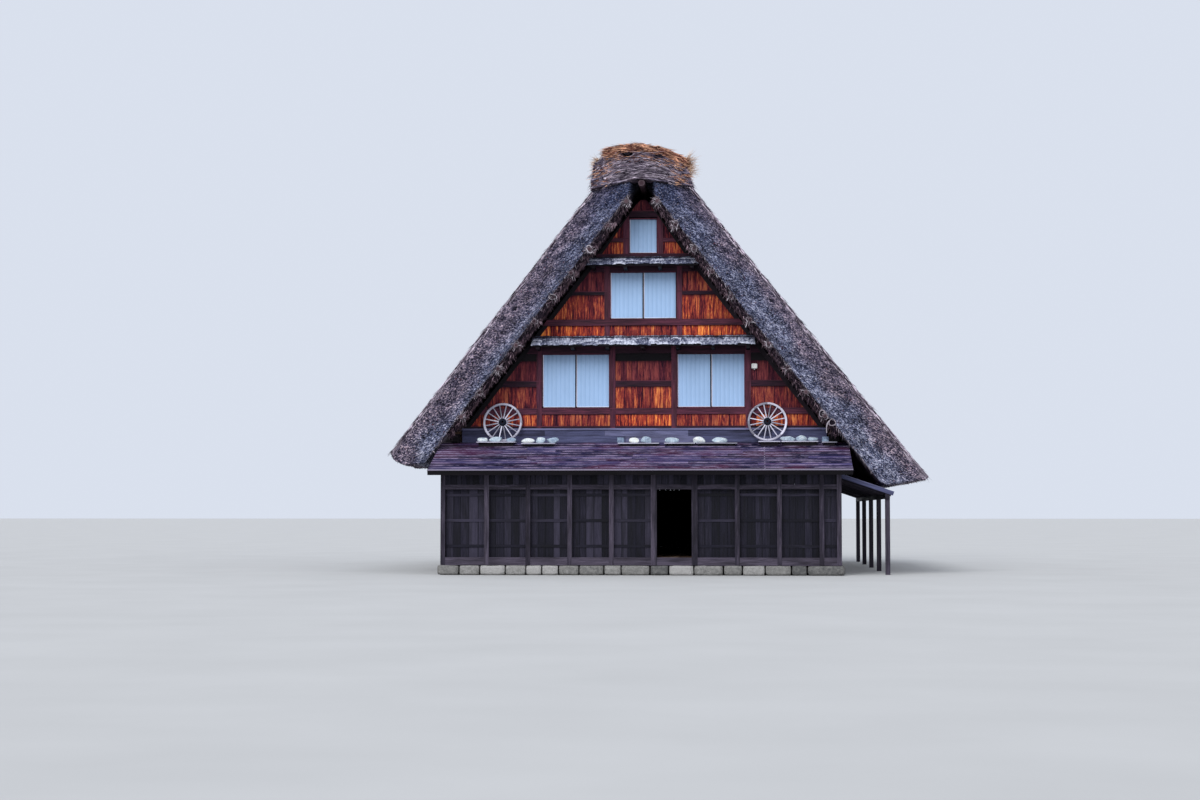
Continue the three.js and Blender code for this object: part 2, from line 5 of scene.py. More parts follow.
import bpy
import numpy as np
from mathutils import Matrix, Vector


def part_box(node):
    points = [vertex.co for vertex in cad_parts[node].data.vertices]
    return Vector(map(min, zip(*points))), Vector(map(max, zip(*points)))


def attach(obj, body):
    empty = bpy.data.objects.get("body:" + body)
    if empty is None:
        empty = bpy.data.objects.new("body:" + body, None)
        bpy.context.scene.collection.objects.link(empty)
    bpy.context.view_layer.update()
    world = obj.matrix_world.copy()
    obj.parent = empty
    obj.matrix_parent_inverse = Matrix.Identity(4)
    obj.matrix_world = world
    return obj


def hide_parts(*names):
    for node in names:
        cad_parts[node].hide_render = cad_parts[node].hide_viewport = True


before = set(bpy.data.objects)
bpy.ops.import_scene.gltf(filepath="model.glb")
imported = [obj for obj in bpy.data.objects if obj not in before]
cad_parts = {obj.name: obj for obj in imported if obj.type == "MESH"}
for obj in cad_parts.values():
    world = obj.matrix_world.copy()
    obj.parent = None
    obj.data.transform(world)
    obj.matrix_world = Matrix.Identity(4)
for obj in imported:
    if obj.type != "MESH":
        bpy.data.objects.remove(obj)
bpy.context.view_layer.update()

# Everything below is drawn in metres with X from the plane of the ridge, and moved by RIDGE_X at the end
RIDGE_X = (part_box("ridge_beam")[0][0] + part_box("ridge_beam")[1][0]) / 2

# Roof section, with -1 for the left slope and 1 for the right
APEX_Z = 10.34  # the underside falls from here, over the ridge beam
PITCH = 1.3  # by this much for each metre of run
SLANT = math.hypot(1, PITCH)
THATCH_END = 6.8
THATCH_DEPTH = 0.95
FEET = {
    -1: [(5.45, 3.255), (5.69, 2.85), (6.27, 2.83), (6.53, 2.97), (6.61, 3.17)],
    1: [(6.14, 2.358), (6.31, 2.29), (7.3, 2.44), (7.38, 2.52)],
}
ROUND = {-1: 0.14, 1: 0.2}  # radius of the trimmed edge between each slope and its cut faces
HOLE_NEAR, HOLE_FAR, HOLE_DEPTH = 0.24, 0.32, 0.5  # beside the ridge beam the reed stays back
BEAM_Z = 10.19

# Ridge cap and the straw mat on it
CAP_END = 6.85
CAP_UNDER = [(-1.3, 10.015), (-0.05, 10.29), (0.05, 10.29), (1.32, 10.06)]
CAP_LEFT = [(-1.3, 10.015), (-1.245, 10.56), (-1.13, 10.78)]
CAP_RIGHT = [(1.32, 10.06), (1.205, 10.4), (1.13, 10.65)]
CAP_CROWN = [(-1.13, 10.78), (-0.93, 10.915), (-0.48, 11.0), (0, 11.025), (0.6, 10.9), (1.13, 10.65)]
CAP_OUTLINE = (CAP_UNDER, CAP_CROWN, CAP_LEFT, CAP_RIGHT)
CAP_JOINT = {-1: (1.3, 10.015), 1: (1.32, 10.06)}
CAP_REACH = 1.3  # the stems along the layers end this near the ridge's plane
LAYERS = 11
MAT_LINE = CAP_CROWN[1:]
MAT_THICKNESS = 0.19
# Hollows in the ends of the cap, pushed in and painted near-black as shade, by middle and half size: two under
# the mat and three at the sides
HOLLOWS = [(-0.36, 10.945, 0.1, 0.05), (0.45, 10.875, 0.09, 0.045)]
GAPS = [(-1.16, 10.5, 0.05, 0.05), (1.12, 10.35, 0.06, 0.04), (0.85, 10.17, 0.1, 0.03)]

# Timbers under the thatch
PURLIN_STEP = 0.626
PURLINS = [4.12 + PURLIN_STEP * i for i in range(10)]
VERGE_FOOT = 3.76
BOUND_ENDS = [(4.67, 4.14), (4.92, 3.91)]  # ends of low timbers that show on the right
RING_RADIUS = 0.085
VERGE_Y = 6.65  # distance of the outermost rafters from the middle of the house
LOOSE_END = [(4.85, 3.96), (4.79, 3.88), (4.77, 3.76), (4.775, 3.64)]  # in the plane of the verge

# Gable walls
GABLE_Y = 6.0
POST = 0.14
WALL = 0.12
BOARD_RECESS = 0.03
WALL_INSET = 0.21
STOREYS = {"second": (3.81, 6.0), "third": (6.0, 8.1), "fourth": (8.1, 9.87)}
POSTS = {"second": [-2.76, -0.81, 0.81, 2.76], "third": [-0.96, 0.96], "fourth": [-0.455, 0.455]}
RAILS = {
    "second": [(3.81, 3.87), (4.18, 4.34), (4.91, 5.07), (5.79, 6.0)],
    "third": [(6.0, 6.25), (6.53, 6.69), (7.34, 7.44), (7.96, 8.1)],
    "fourth": [(8.1, 8.43), (8.75, 8.85), (9.41, 9.58)],
}
WINDOWS = {
    "second_left": ("second", (-2.69, -0.88), (4.34, 5.79), 2),
    "second_right": ("second", (0.88, 2.69), (4.34, 5.79), 2),
    "third": ("third", (-0.89, 0.89), (6.69, 7.96), 2),
    "fourth": ("fourth", (-0.385, 0.385), (8.43, 9.38), 1),
}
# How bright each storey's boards are, from the low band up; the darker upper bands are painted shade under the
# eaves
VIVID = {"second": (1.0, 0.54, 0.03), "third": (1.1, 0.5, 0.03), "fourth": (0.65, 0.32, 0.0)}
BAR = 0.03  # width of a window's frame
RIB = 0.116  # from one rib of a window's sheet to the next
BARK_SLOPE = 0.44

# Ground storey and lean-to roofs
SIDE_X = 5.1
FRONT_Y = 7.9
FOOTING_TOP = 0.25
FLOOR_Z = 0.45
DOOR_TOP = 2.18
PLATE_Z = 3.45
GROUND_POSTS = [4.6 - 1.065 * i for i in range(9)]
DOORWAY = (0.4, 1.345)
LEANTO_Z = 3.44
LEANTO_SLOPE = 0.325
LEANTO_RUN = 2.4
LEANTO_X = 5.37
LEANTO_COURSES = 12
NAIL_X = 3.17  # where a column of bright nail heads shows
BOARDING = 0.035  # depth of a lean-to's boarding under its outer planks
SIDE_INNER, SIDE_OUTER, SIDE_TOP, SIDE_SLOPE, SIDE_HALF = 5.1, 6.45, 2.56, 0.338, 7.2
SIDE_PLATE = (6.24, 6.36)
GAP = 0.002  # left between two boards

QUARTER = {"front": 0, "right": 1, "back": 2, "left": 3}  # quarter turns of a wall drawn as the front one
TURN = 2 * math.pi
ALONG_Y = (0, 1, 0)


def underside(run, inset=0.0):
    """Height of the thatch's underside, or of a line that lies inset below it."""
    return APEX_Z - inset * SLANT - PITCH * run


def run_at(z, inset=0.0):
    return (APEX_Z - inset * SLANT - z) / PITCH


# Noise

def hashed(cell, seed):
    """A number from -1 to 1 for each cell of a lattice."""
    key = cell.astype(np.int64)
    mixed = key[:, 0] * 374761393 + key[:, 1] * 668265263 + key[:, 2] * 1442695041 + seed * 2246822519
    mixed = ((mixed ^ (mixed >> 13)) * 1274126177) & 0x7FFFFFFF
    return ((mixed ^ (mixed >> 16)) & 0xFFFF) / 32767.5 - 1


def noise(points, size, seed):
    """Smooth noise from -1 to 1, with lumps of the given size."""
    place = np.asarray(points, float) / np.asarray(size, float)
    cell = np.floor(place)
    part = place - cell
    part = part * part * (3 - 2 * part)
    total = np.zeros(len(place))
    for corner in np.ndindex(2, 2, 2):
        weight = np.prod(np.where(corner, part, 1 - part), axis=1)
        total += weight * hashed(cell + corner, seed)
    return total


# Points

def columns(*parts):
    """Points from their coordinates. Each is a list, or one number for all of them."""
    return np.stack(np.broadcast_arrays(*parts), axis=-1)


def unit(vectors):
    return vectors / np.maximum(np.linalg.norm(vectors, axis=-1, keepdims=True), 1e-9)


def ring(angle, radius=1.0):
    """Points around the Y axis."""
    return columns(radius * np.cos(angle), 0, radius * np.sin(angle))


def distances(path):
    """How far along a path each of its points lies."""
    return np.concatenate([[0], np.cumsum(np.linalg.norm(np.diff(path, axis=0), axis=1))])


def along_line(corners, places):
    """Points at the given shares of the length of a broken line."""
    corners = np.asarray(corners, float)
    far = distances(corners)
    return columns(*(np.interp(np.asarray(places) * far[-1], far, axis) for axis in corners.T))


def coons(s, t, low, high, start, end):
    """Fills the outline of four broken lines: low and high run with s, start and end run with t."""
    s1, t1 = s[:, None], t[:, None]
    sides = (1 - t1) * along_line(low, s) + t1 * along_line(high, s)
    ends = (1 - s1) * along_line(start, t) + s1 * along_line(end, t)
    low, high = np.asarray(low, float), np.asarray(high, float)
    corners = (1 - s1) * ((1 - t1) * low[0] + t1 * high[0]) + s1 * ((1 - t1) * low[-1] + t1 * high[-1])
    return sides + ends - corners


# Meshes

def outward(points, faces):
    """The faces turned so that they face out of the closed shape."""
    a, b, c, d = ((points - points.mean(axis=0))[faces[:, i]] for i in (0, 1, 2, -1))
    volume = np.einsum("ij,ij->i", a + c, np.cross(c - a, d - b)).sum()
    return faces if volume > 0 else faces[:, ::-1]


def normals(points, quads):
    """The direction out of a closed shape at each of its points."""
    quads = outward(points, quads)
    a, b, c, d = (points[quads[:, i]] for i in range(4))
    across = np.cross(c - a, d - b)
    total = np.zeros_like(points)
    for i in range(4):
        for axis in range(3):
            total[:, axis] += np.bincount(quads[:, i], across[:, axis], len(points))
    return unit(total)


class Pile:
    """Closed shapes gathered into one mesh. Each corner keeps its place on the grain, and its marks."""

    def __init__(self, rng):
        self.rng = rng
        self.points, self.grain, self.faces = [], [], []
        self.marks = {mark: [] for mark in ("tint", "zone", "edge", "rise")}
        self.count = 0

    def shift(self):
        """A random place in the textures, so that no two boards look alike."""
        return self.rng.uniform(0, 40, 3)

    def add(self, points, faces, grain=None, caps=None, tint=None, **marks):
        """Adds a closed shape and turns its faces out, and with them any caps that close its ends."""
        points = np.asarray(points, float)
        turned_out = outward(points, faces)
        if caps is not None:
            self.faces.append((caps if turned_out is faces else caps[:, ::-1]) + self.count)
        self.faces.append(turned_out + self.count)
        self.points.append(points)
        self.grain.append(points if grain is None else grain)
        marks["tint"] = self.rng.random() if tint is None else tint
        for mark, values in self.marks.items():
            values.append(np.broadcast_to(np.asarray(marks.get(mark, 0), float), len(points)))
        self.count += len(points)


def begin(name, count=1):
    """A stream of random numbers that belongs to one piece, and empty piles that draw from it."""
    rng = np.random.default_rng(zlib.crc32(name.encode()))
    return rng, *(Pile(rng) for _ in range(count))


def make_mesh(name, pile, smooth, quarters):
    points = np.concatenate(pile.points)
    for _ in range(quarters):
        points = columns(-points[:, 1], points[:, 0], points[:, 2])
    points = points + (RIDGE_X, 0, 0)
    loops = np.concatenate([faces.ravel() for faces in pile.faces])
    sizes = np.concatenate([np.full(len(faces), faces.shape[1]) for faces in pile.faces])
    mesh = bpy.data.meshes.new(name)
    mesh.vertices.add(len(points))
    mesh.vertices.foreach_set("co", points.astype(np.float32).ravel())
    mesh.loops.add(len(loops))
    mesh.loops.foreach_set("vertex_index", loops.astype(np.int32))
    mesh.polygons.add(len(sizes))
    mesh.polygons.foreach_set("loop_start", (np.cumsum(sizes) - sizes).astype(np.int32))
    mesh.polygons.foreach_set("use_smooth", np.full(len(sizes), smooth))
    mesh.update(calc_edges=True)
    grain = mesh.attributes.new("grain", "FLOAT_VECTOR", "POINT")
    grain.data.foreach_set("vector", np.concatenate(pile.grain).astype(np.float32).ravel())
    for mark, values in pile.marks.items():
        layer = mesh.attributes.new(mark, "FLOAT", "POINT")
        layer.data.foreach_set("value", np.concatenate(values).astype(np.float32))
    return mesh


def piece(name, pile, material, nodes=(), smooth=False, side="front"):
    """Makes a piece of the house that takes the place of the named nodes."""
    name = f"{name}_dressed" if name in nodes else name
    mesh = make_mesh(name, pile, smooth, QUARTER[side])
    mesh.materials.append(material)
    made = bpy.data.objects.new(name, mesh)
    bpy.context.scene.collection.objects.link(made)
    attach(made, "root")
    if nodes:
        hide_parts(*nodes)


def box_grid(*cuts):
    """The skin of a unit block cut at the given places along its three sides: corners and quads."""
    shape = tuple(len(cut) for cut in cuts)
    shell = np.ones(shape, bool)
    shell[1:-1, 1:-1, 1:-1] = False
    index = np.full(shape, -1)
    index[shell] = np.arange(shell.sum())
    params = columns(*(np.asarray(cut, float)[at] for cut, at in zip(cuts, np.nonzero(shell))))
    quads = []
    for axis in range(3):
        for end in (0, -1):
            sheet = np.take(index, end, axis=axis)
            quad = np.stack([sheet[:-1, :-1], sheet[1:, :-1], sheet[1:, 1:], sheet[:-1, 1:]], axis=-1)
            quad = quad.reshape(-1, 4)
            quads.append(quad if (axis != 1) == (end == -1) else quad[:, ::-1])
    return params, np.concatenate(quads)


HEXA = np.array([(0, 3, 2, 1), (4, 5, 6, 7), (0, 1, 5, 4), (1, 2, 6, 5), (2, 3, 7, 6), (3, 0, 4, 7)])
GRAIN_ORDER = {0: (1, 0, 2), 1: (0, 1, 2), 2: (0, 2, 1)}  # puts the axis of the grain second


def hexa(pile, corners, along, tint=None, grain=None, **marks):
    """A board with any eight corners: four below, four above. along is the axis of its grain."""
    corners = np.asarray(corners, float)
    grain = corners[:, GRAIN_ORDER[along]] if grain is None else grain
    pile.add(corners, HEXA, grain + pile.shift(), tint=tint, **marks)


def box_corners(x, y, z, tops=None):
    """Eight corners from three spans. tops are the heights at the left and right, if the span's don't hold."""
    left, right = tops or (z[1], z[1])
    plan = [(x[0], y[0]), (x[1], y[0]), (x[1], y[1]), (x[0], y[1])]
    heights = [z[0], z[0], z[0], z[0], left, right, right, left]
    return np.array([(*place, height) for place, height in zip(plan * 2, heights)], float)


def slab(pile, x, y, z, along, tint=None):
    hexa(pile, box_corners(x, y, z), along, tint)


def board(pile, corners, zone):
    """An upright board from eight corners, marked by the distance from its middle line and by the height."""
    params, quads = box_grid([0, 0.5, 1], [0, 1], np.linspace(0, 1, 5))
    u, v, w = params.T[:, :, None]
    foot, head = ((a * (1 - u) + b * u) * (1 - v) + (d * (1 - u) + c * u) * v
                  for a, b, c, d in (corners[:4], corners[4:]))
    points = foot * (1 - w) + head * w
    grain = points[:, GRAIN_ORDER[2]] + pile.shift()
    pile.add(points, quads, grain, zone=zone, edge=np.abs(2 * params[:, 0] - 1), rise=params[:, 2])


CHAMFER = 0.006


def sweep(pile, path, section, up=(0, 0, 1), scale=1.0, zone=0.0, tint=None, end_zone=None):
    """A closed bar along a path. section is a ring of (side, up) points, and scale widens it on the way."""
    path, section = np.asarray(path, float), np.asarray(section, float)
    scale = np.broadcast_to(np.asarray(scale, float), len(path))
    zones = np.full(len(path), float(zone))
    if end_zone is not None:  # a small chamfer, and then the end grain
        first, last = (CHAMFER * unit(step) for step in (path[1] - path[0], path[-1] - path[-2]))
        start, stop = path[0], path[-1]
        path = np.stack([start - 1.4 * first, start - first, *path, stop + last, stop + 1.4 * last])
        scale = np.concatenate([[0.5, 0.85], scale, [0.85, 0.5]])
        zones = np.concatenate([[zone, end_zone], zones, [end_zone, zone]])
    ahead = unit(np.gradient(path, axis=0))
    side = unit(np.cross(ahead, up))
    rise = np.cross(side, ahead)
    rim = scale[:, None, None] * section
    points = path[:, None] + rim[..., :1] * side[:, None] + rim[..., 1:] * rise[:, None]
    rings, number = points.shape[:2]
    grain = columns(rim[..., 0], distances(path)[:, None], rim[..., 1]).reshape(-1, 3) + pile.shift()
    index = np.arange(rings * number).reshape(rings, number)
    after = np.roll(index, -1, axis=1)
    quads = np.stack([index[:-1], after[:-1], after[1:], index[1:]], axis=-1).reshape(-1, 4)
    caps = np.stack([index[0][::-1], index[-1]])
    pile.add(points.reshape(-1, 3), quads, grain, caps, tint, zone=np.repeat(zones, number))


def circle(radius, sides, squash=1.0):
    angle = np.arange(sides) * TURN / sides
    return columns(radius * np.cos(angle), squash * radius * np.sin(angle))


def chamfered(width, height, cut=0.008):
    """A rectangle with its corners cut, as the section of a planed beam."""
    a, b = width / 2, height / 2
    return [(a - cut, -b), (a, -b + cut), (a, b - cut), (a - cut, b),
            (-a + cut, b), (-a, b - cut), (-a, -b + cut), (-a + cut, -b)]


def log(pile, start, end, radius, rings=14, sides=10, wander=0.012, ends=1.0):
    """A peeled log that wanders a little from its line."""
    start, end = np.asarray(start, float), np.asarray(end, float)
    path = start + (end - start) * np.linspace(0, 1, rings)[:, None]
    path = path + wander * columns(*(noise(path, 1.3, int(pile.rng.integers(999))) for _ in range(3)))
    scale = 1 + 0.1 * noise(path, 0.5, int(pile.rng.integers(999)))
    sweep(pile, path, circle(radius, sides), (0.3, 0.5, 0.8), scale, end_zone=ends)


STRAW_FACES = np.array([(0, 1, 2), (0, 3, 1), (1, 3, 2), (2, 3, 0)])


def straws(pile, roots, directions, lengths, radii, tint=None):
    """Stems that taper to a point: four triangles each."""
    number = len(roots)
    directions = unit(directions)
    spare = np.where(np.abs(directions[:, 2:]) < 0.9, [[0.0, 0, 1]], [[1.0, 0, 0]])
    side = unit(np.cross(directions, spare))
    rise = np.cross(side, directions)
    spin = pile.rng.uniform(0, TURN, number)
    corners = []
    for angle in (spin, spin + TURN / 3, spin + 2 * TURN / 3):
        offset = np.cos(angle)[:, None] * side + np.sin(angle)[:, None] * rise
        corners.append(roots + offset * radii[:, None])
    points = np.stack([*corners, roots + directions * lengths[:, None]], axis=1).reshape(-1, 3)
    faces = (np.arange(number)[:, None, None] * 4 + STRAW_FACES).reshape(-1, 3)
    tint = pile.rng.random(number) if tint is None else tint
    grain = columns(0, np.outer(lengths, [0, 0, 0, 1]).ravel(), 0) + np.repeat(roots, 4, axis=0)
    pile.add(points, faces, grain, tint=np.repeat(tint, 4))


def stems(pile, roots, directions, lengths, radii, keep=None):
    """Stems with lengths and radii between two limits. keep says which of them are drawn."""
    length = pile.rng.uniform(*lengths, len(roots))
    if keep is not None:
        kept = keep(roots, directions, length)
        roots, directions, length = roots[kept], directions[kept], length[kept]
    straws(pile, roots, directions, length, pile.rng.uniform(*radii, len(roots)))


# Materials

class Look:
    """A node material, built from the texture to the surface. An input may be the name of a mark."""

    def __init__(self, name):
        self.material = bpy.data.materials.new(name)
        self.material.use_nodes = True
        self.tree = self.material.node_tree
        self.tree.nodes.clear()

    def node(self, kind, inputs, output=0, **settings):
        made = self.tree.nodes.new(kind)
        for key, value in settings.items():
            setattr(made, key, value)
        for key, value in inputs.items():
            socket = made.inputs[key]
            if isinstance(value, str):
                value = self.attribute(value)
            if isinstance(value, bpy.types.NodeSocket):
                self.tree.links.new(value, socket)
            elif value is not None:
                socket.default_value = (*value, 1) if socket.type == "RGBA" else value
        return made.outputs[output]

    def attribute(self, name, output="Fac"):
        return self.node("ShaderNodeAttribute", {}, output, attribute_name=name)

    def stretched(self, vector, scale):
        return self.node("ShaderNodeVectorMath", {0: vector, 1: scale}, operation="MULTIPLY")

    def place(self, scale):
        return self.stretched(self.node("ShaderNodeTexCoord", {}, "Object"), scale)

    def noise(self, vector, detail, roughness, distortion=0.0):
        inputs = {"Vector": vector, "Scale": 1.0, "Detail": detail, "Roughness": roughness}
        return self.node("ShaderNodeTexNoise", {**inputs, "Distortion": distortion})

    def fibre(self, across, along, *noise):
        """Noise on the grain, with so many lumps per metre across it and along it."""
        return self.noise(self.stretched(self.attribute("grain", "Vector"), (across, along, across)), *noise)

    def cloud(self, scale, *noise):
        """Noise in space, with so many lumps per metre, or so many along each axis."""
        return self.noise(self.place(scale if isinstance(scale, tuple) else (scale,) * 3), *noise)

    def ramp(self, factor, *stops):
        output = self.node("ShaderNodeValToRGB", {0: factor})
        band = output.node.color_ramp
        while len(band.elements) < len(stops):
            band.elements.new(0.5)
        for element, (place, colour) in zip(band.elements, stops):
            element.position = place
            element.color = (*colour, 1) if isinstance(colour, tuple) else (colour, colour, colour, 1)
        return output

    def mix(self, factor, first, second, blend="MIX"):
        inputs = {0: factor, 6: first, 7: second}
        return self.node("ShaderNodeMix", inputs, 2, data_type="RGBA", blend_type=blend)

    def over(self, colour, top, factor, *stops):
        """A colour laid over another, as thick as a ramp says."""
        return self.mix(self.ramp(factor, *stops), colour, top)

    def shade(self, colour, factor, *stops):
        """A colour darkened by what a ramp says."""
        return self.mix(1.0, colour, self.ramp(factor, *stops), "MULTIPLY")

    def math(self, operation, first, second):
        return self.node("ShaderNodeMath", {0: first, 1: second}, operation=operation)

    def blend(self, first, second, share):
        """Some of one value with some of another."""
        return self.node("ShaderNodeMix", {0: share, 2: first, 3: second})

    def bump(self, height, distance, normal=None):
        return self.node("ShaderNodeBump", {"Height": height, "Distance": distance, "Normal": normal})

    def done(self, colour, roughness, normal=None, specular=0.15):
        inputs = {"Base Color": colour, "Roughness": roughness, "Normal": normal}
        inputs["Specular IOR Level"] = specular
        shader = self.node("ShaderNodeBsdfPrincipled", inputs)
        output = self.tree.nodes.new("ShaderNodeOutputMaterial")
        self.tree.links.new(shader, output.inputs["Surface"])
        return self.material


def wood(name, dark, middle, light, stain=0.5, top_light=None, even=0.6):
    """Weathered boards: each board its own tone, with grain, dark stains along it and a worn bump."""
    look = Look(name)
    fibre = look.fibre(40, 2, 5, 0.7)
    broad = look.fibre(6, 0.7, 3, 0.6, 0.4)
    colour = look.ramp(look.blend("tint", fibre, even), (0.25, dark), (0.47, middle), (0.7, light))
    colour = look.shade(colour, broad, (0.36, 1 - stain), (0.56, 1.0))
    colour = look.over(colour, dark, "edge", (0.75, 0.0), (1.0, 0.7))
    # painted highlight: faces that look up are lightened with top_light, as if lit from above
    if top_light is not None:
        lift = look.node("ShaderNodeSeparateXYZ", {0: look.node("ShaderNodeNewGeometry", {}, "Normal")}, 2)
        colour = look.over(colour, top_light, lift, (0.35, 0.0), (0.8, 0.75))
    return look.done(colour, look.ramp(broad, (0.3, 0.48), (0.7, 0.72)), look.bump(fibre, 0.004))


def cedar_look():
    """Old cedar boards: dark red-brown where the zone is 0, orange-brown where it is 1, dark at the edges,
    painted shadow under each rail.
    """
    look = Look("cedar")
    fibre = look.fibre(22, 1.8, 6, 0.8, 0.3)
    runs = look.fibre(13, 1.6, 4, 0.75, 0.4)
    tone = look.blend("tint", fibre, 0.9)
    dark, middle, light = (0.012, 0.004, 0.011), (0.075, 0.013, 0.024), (0.21, 0.045, 0.045)
    deep = look.ramp(tone, (0.38, dark), (0.49, middle), (0.6, light))
    vivid = look.ramp(tone, (0.4, (0.03, 0.004, 0.013)), (0.47, (0.19, 0.023, 0.023)),
                      (0.535, (0.5, 0.072, 0.03)), (0.61, (1.0, 0.33, 0.075)))
    worn = look.math("ADD", "edge", look.math("MULTIPLY", runs, 2.0))
    worn = look.math("ADD", worn, look.math("MULTIPLY", "rise", 0.3))
    foot = look.math("SUBTRACT", look.math("MULTIPLY", runs, 1.4), "rise")
    # zone comes from brightness(): its low end, the deep colour, is painted shade under the eaves
    colour = look.over(look.mix("zone", deep, vivid), (0.014, 0.003, 0.012), worn, (1.62, 0.0), (2.02, 0.95))
    colour = look.over(colour, (0.03, 0.006, 0.016), foot, (0.55, 0.0), (0.8, 0.5))
    # painted shadow under the rail above: each board darkens towards its top
    colour = look.over(colour, (0.01, 0.003, 0.01), "rise", (0.86, 0.0), (1.0, 0.7))
    return look.done(colour, 0.6, look.bump(fibre, 0.004), specular=0.06)


CUT_REED = [(0.006, 0.007, 0.016), (0.05, 0.056, 0.105), (0.175, 0.19, 0.3), (0.66, 0.66, 0.8)]
SHADED = (0.7, 0.72, 0.8)  # share of its colour that reed keeps high on the roof
UNDER_CAP = (0.36, 0.4, 0.52)  # and in the shade of the ridge cap


def thatch_look(name, slope_colours, weathered, contrast, top):
    """Reed: fine runs down the slope where zone is 0, and a speckle of cut stems where it is 1."""
    look = Look(name)
    speckle = look.blend(look.fibre(34, 24, 3, 0.8, 0.6), look.fibre(8, 4, 4, 0.75), 0.3)
    cut = look.ramp(speckle, *zip((0.43, 0.483, 0.535, 0.6), CUT_REED))
    cut = look.over(cut, look.mix(1.0, cut, (1.12, 0.86, 0.78), "MULTIPLY"), "tint", (0.38, 0.0), (0.68, 1.0))
    cut = look.over(cut, (0.2, 0.05, 0.06), look.cloud(21, 2, 0.5), (0.69, 0.0), (0.72, 0.8))
    runs = look.fibre(20, 2.2, 4, 0.75, 0.5)
    spread = 0.12 / contrast
    slope = look.ramp(look.blend(runs, speckle, 0.5), *zip((0.5 - spread, 0.5, 0.5 + spread), slope_colours))
    slope = look.over(slope, weathered, look.fibre(1.6, 0.5, 4, 0.65, 0.8), (0.44, 0.0), (0.64, 0.7))
    colour = look.shade(look.mix("zone", slope, cut), look.cloud(2.2, 4, 0.65), (0.34, 0.6), (0.56, 1.0))
    tenths = look.node("ShaderNodeSeparateXYZ", {0: look.place((0, 0, 0.1))}, 2)
    # painted shade: reed darkens with height, most in the shade of the ridge cap
    colour = look.shade(colour, tenths, (0.3, 1.0), (0.85, (0.74, 0.76, 0.82)), (0.93, SHADED), (0.98, top))
    # painted shade: where edge is high the reed goes near-black, by the smoke hole and in the cap's hollows
    colour = look.mix("edge", colour, (0.006, 0.005, 0.007))
    return look.done(colour, 0.92, look.bump(look.blend(runs, speckle, "zone"), 0.05))


def straw_look(name, dark, middle, light):
    look = Look(name)
    fibre = look.fibre(60, 6, 3, 0.6)
    colour = look.ramp(look.blend("tint", fibre, 0.5), (0.3, dark), (0.5, middle), (0.68, light))
    colour = look.shade(colour, look.cloud(3.5, 4, 0.65), (0.3, 0.5), (0.55, 1.0))
    return look.done(colour, 0.9, look.bump(fibre, 0.02))


def log_look():
    """Smoky peeled logs with a pale ring of end grain."""
    look = Look("log")
    fibre = look.fibre(45, 3, 4, 0.65)
    tone = look.blend("tint", fibre, 0.6)
    dark, middle, light = (0.01, 0.006, 0.009), (0.035, 0.018, 0.024), (0.11, 0.07, 0.08)
    bark = look.ramp(tone, (0.2, dark), (0.5, middle), (0.8, light))
    ends = look.ramp(look.fibre(90, 20, 2, 0.6), (0.35, (0.03, 0.02, 0.026)), (0.68, (0.26, 0.2, 0.23)))
    return look.done(look.mix("zone", bark, ends), 0.85, look.bump(fibre, 0.006))


def bark_look():
    """Grey weathered bark in flakes: dark cracks, and a pale lower edge where edge is 1, partly torn bark and
    partly a painted highlight.
    """
    look = Look("eave_bark")
    ridges = look.fibre(24, 4, 4, 0.8, 0.6)
    tone = look.blend(look.blend("tint", look.fibre(10, 3.5, 5, 0.8, 1.0), 0.85), ridges, 0.4)
    # lit: a painted highlight along the torn lower edge of each sheet
    lit = look.math("MULTIPLY", look.ramp("edge", (0.4, 0.0), (0.9, 0.11)), "zone")
    colour = look.ramp(look.math("ADD", tone, lit), (0.4, (0.012, 0.013, 0.03)), (0.51, (0.085, 0.095, 0.16)),
                       (0.64, (0.66, 0.68, 0.8)))
    return look.done(colour, 0.85, look.bump(ridges, 0.02))


def stone_look(name, colours, grain=14.0, own_tone=0.45):
    look = Look(name)
    coarse = look.cloud(grain, 5, 0.7)
    fine = look.cloud(grain * 9, 3, 0.7)
    colour = look.ramp(look.blend(coarse, "tint", own_tone), *colours)
    colour = look.mix(0.6, colour, look.ramp(fine, (0.35, 0.45), (0.6, 1.0)), "MULTIPLY")
    return look.done(colour, 0.8, look.bump(fine, 0.01, look.bump(coarse, 0.03)))


def sheet_look():
    """Pale bluish sheet with painted shade in the hollows of its ribs, a little dusty and darker towards its
    top.
    """
    look = Look("window_sheet")
    dust = look.cloud((9, 9, 1.2), 4, 0.6)
    # painted shade: zone is low in the hollows of the ribs
    colour = look.ramp("zone", (0.0, (0.275, 0.415, 0.63)), (0.25, (0.33, 0.48, 0.71)))
    colour = look.shade(colour, dust, (0.32, 0.94), (0.66, 1.0))
    colour = look.shade(colour, look.cloud(1.4, 3, 0.5), (0.3, 0.94), (0.7, 1.0))
    colour = look.shade(colour, "rise", (0.1, 1.0), (0.8, 0.9), (1.0, 0.72))
    return look.done(colour, 0.5, look.bump(dust, 0.002))


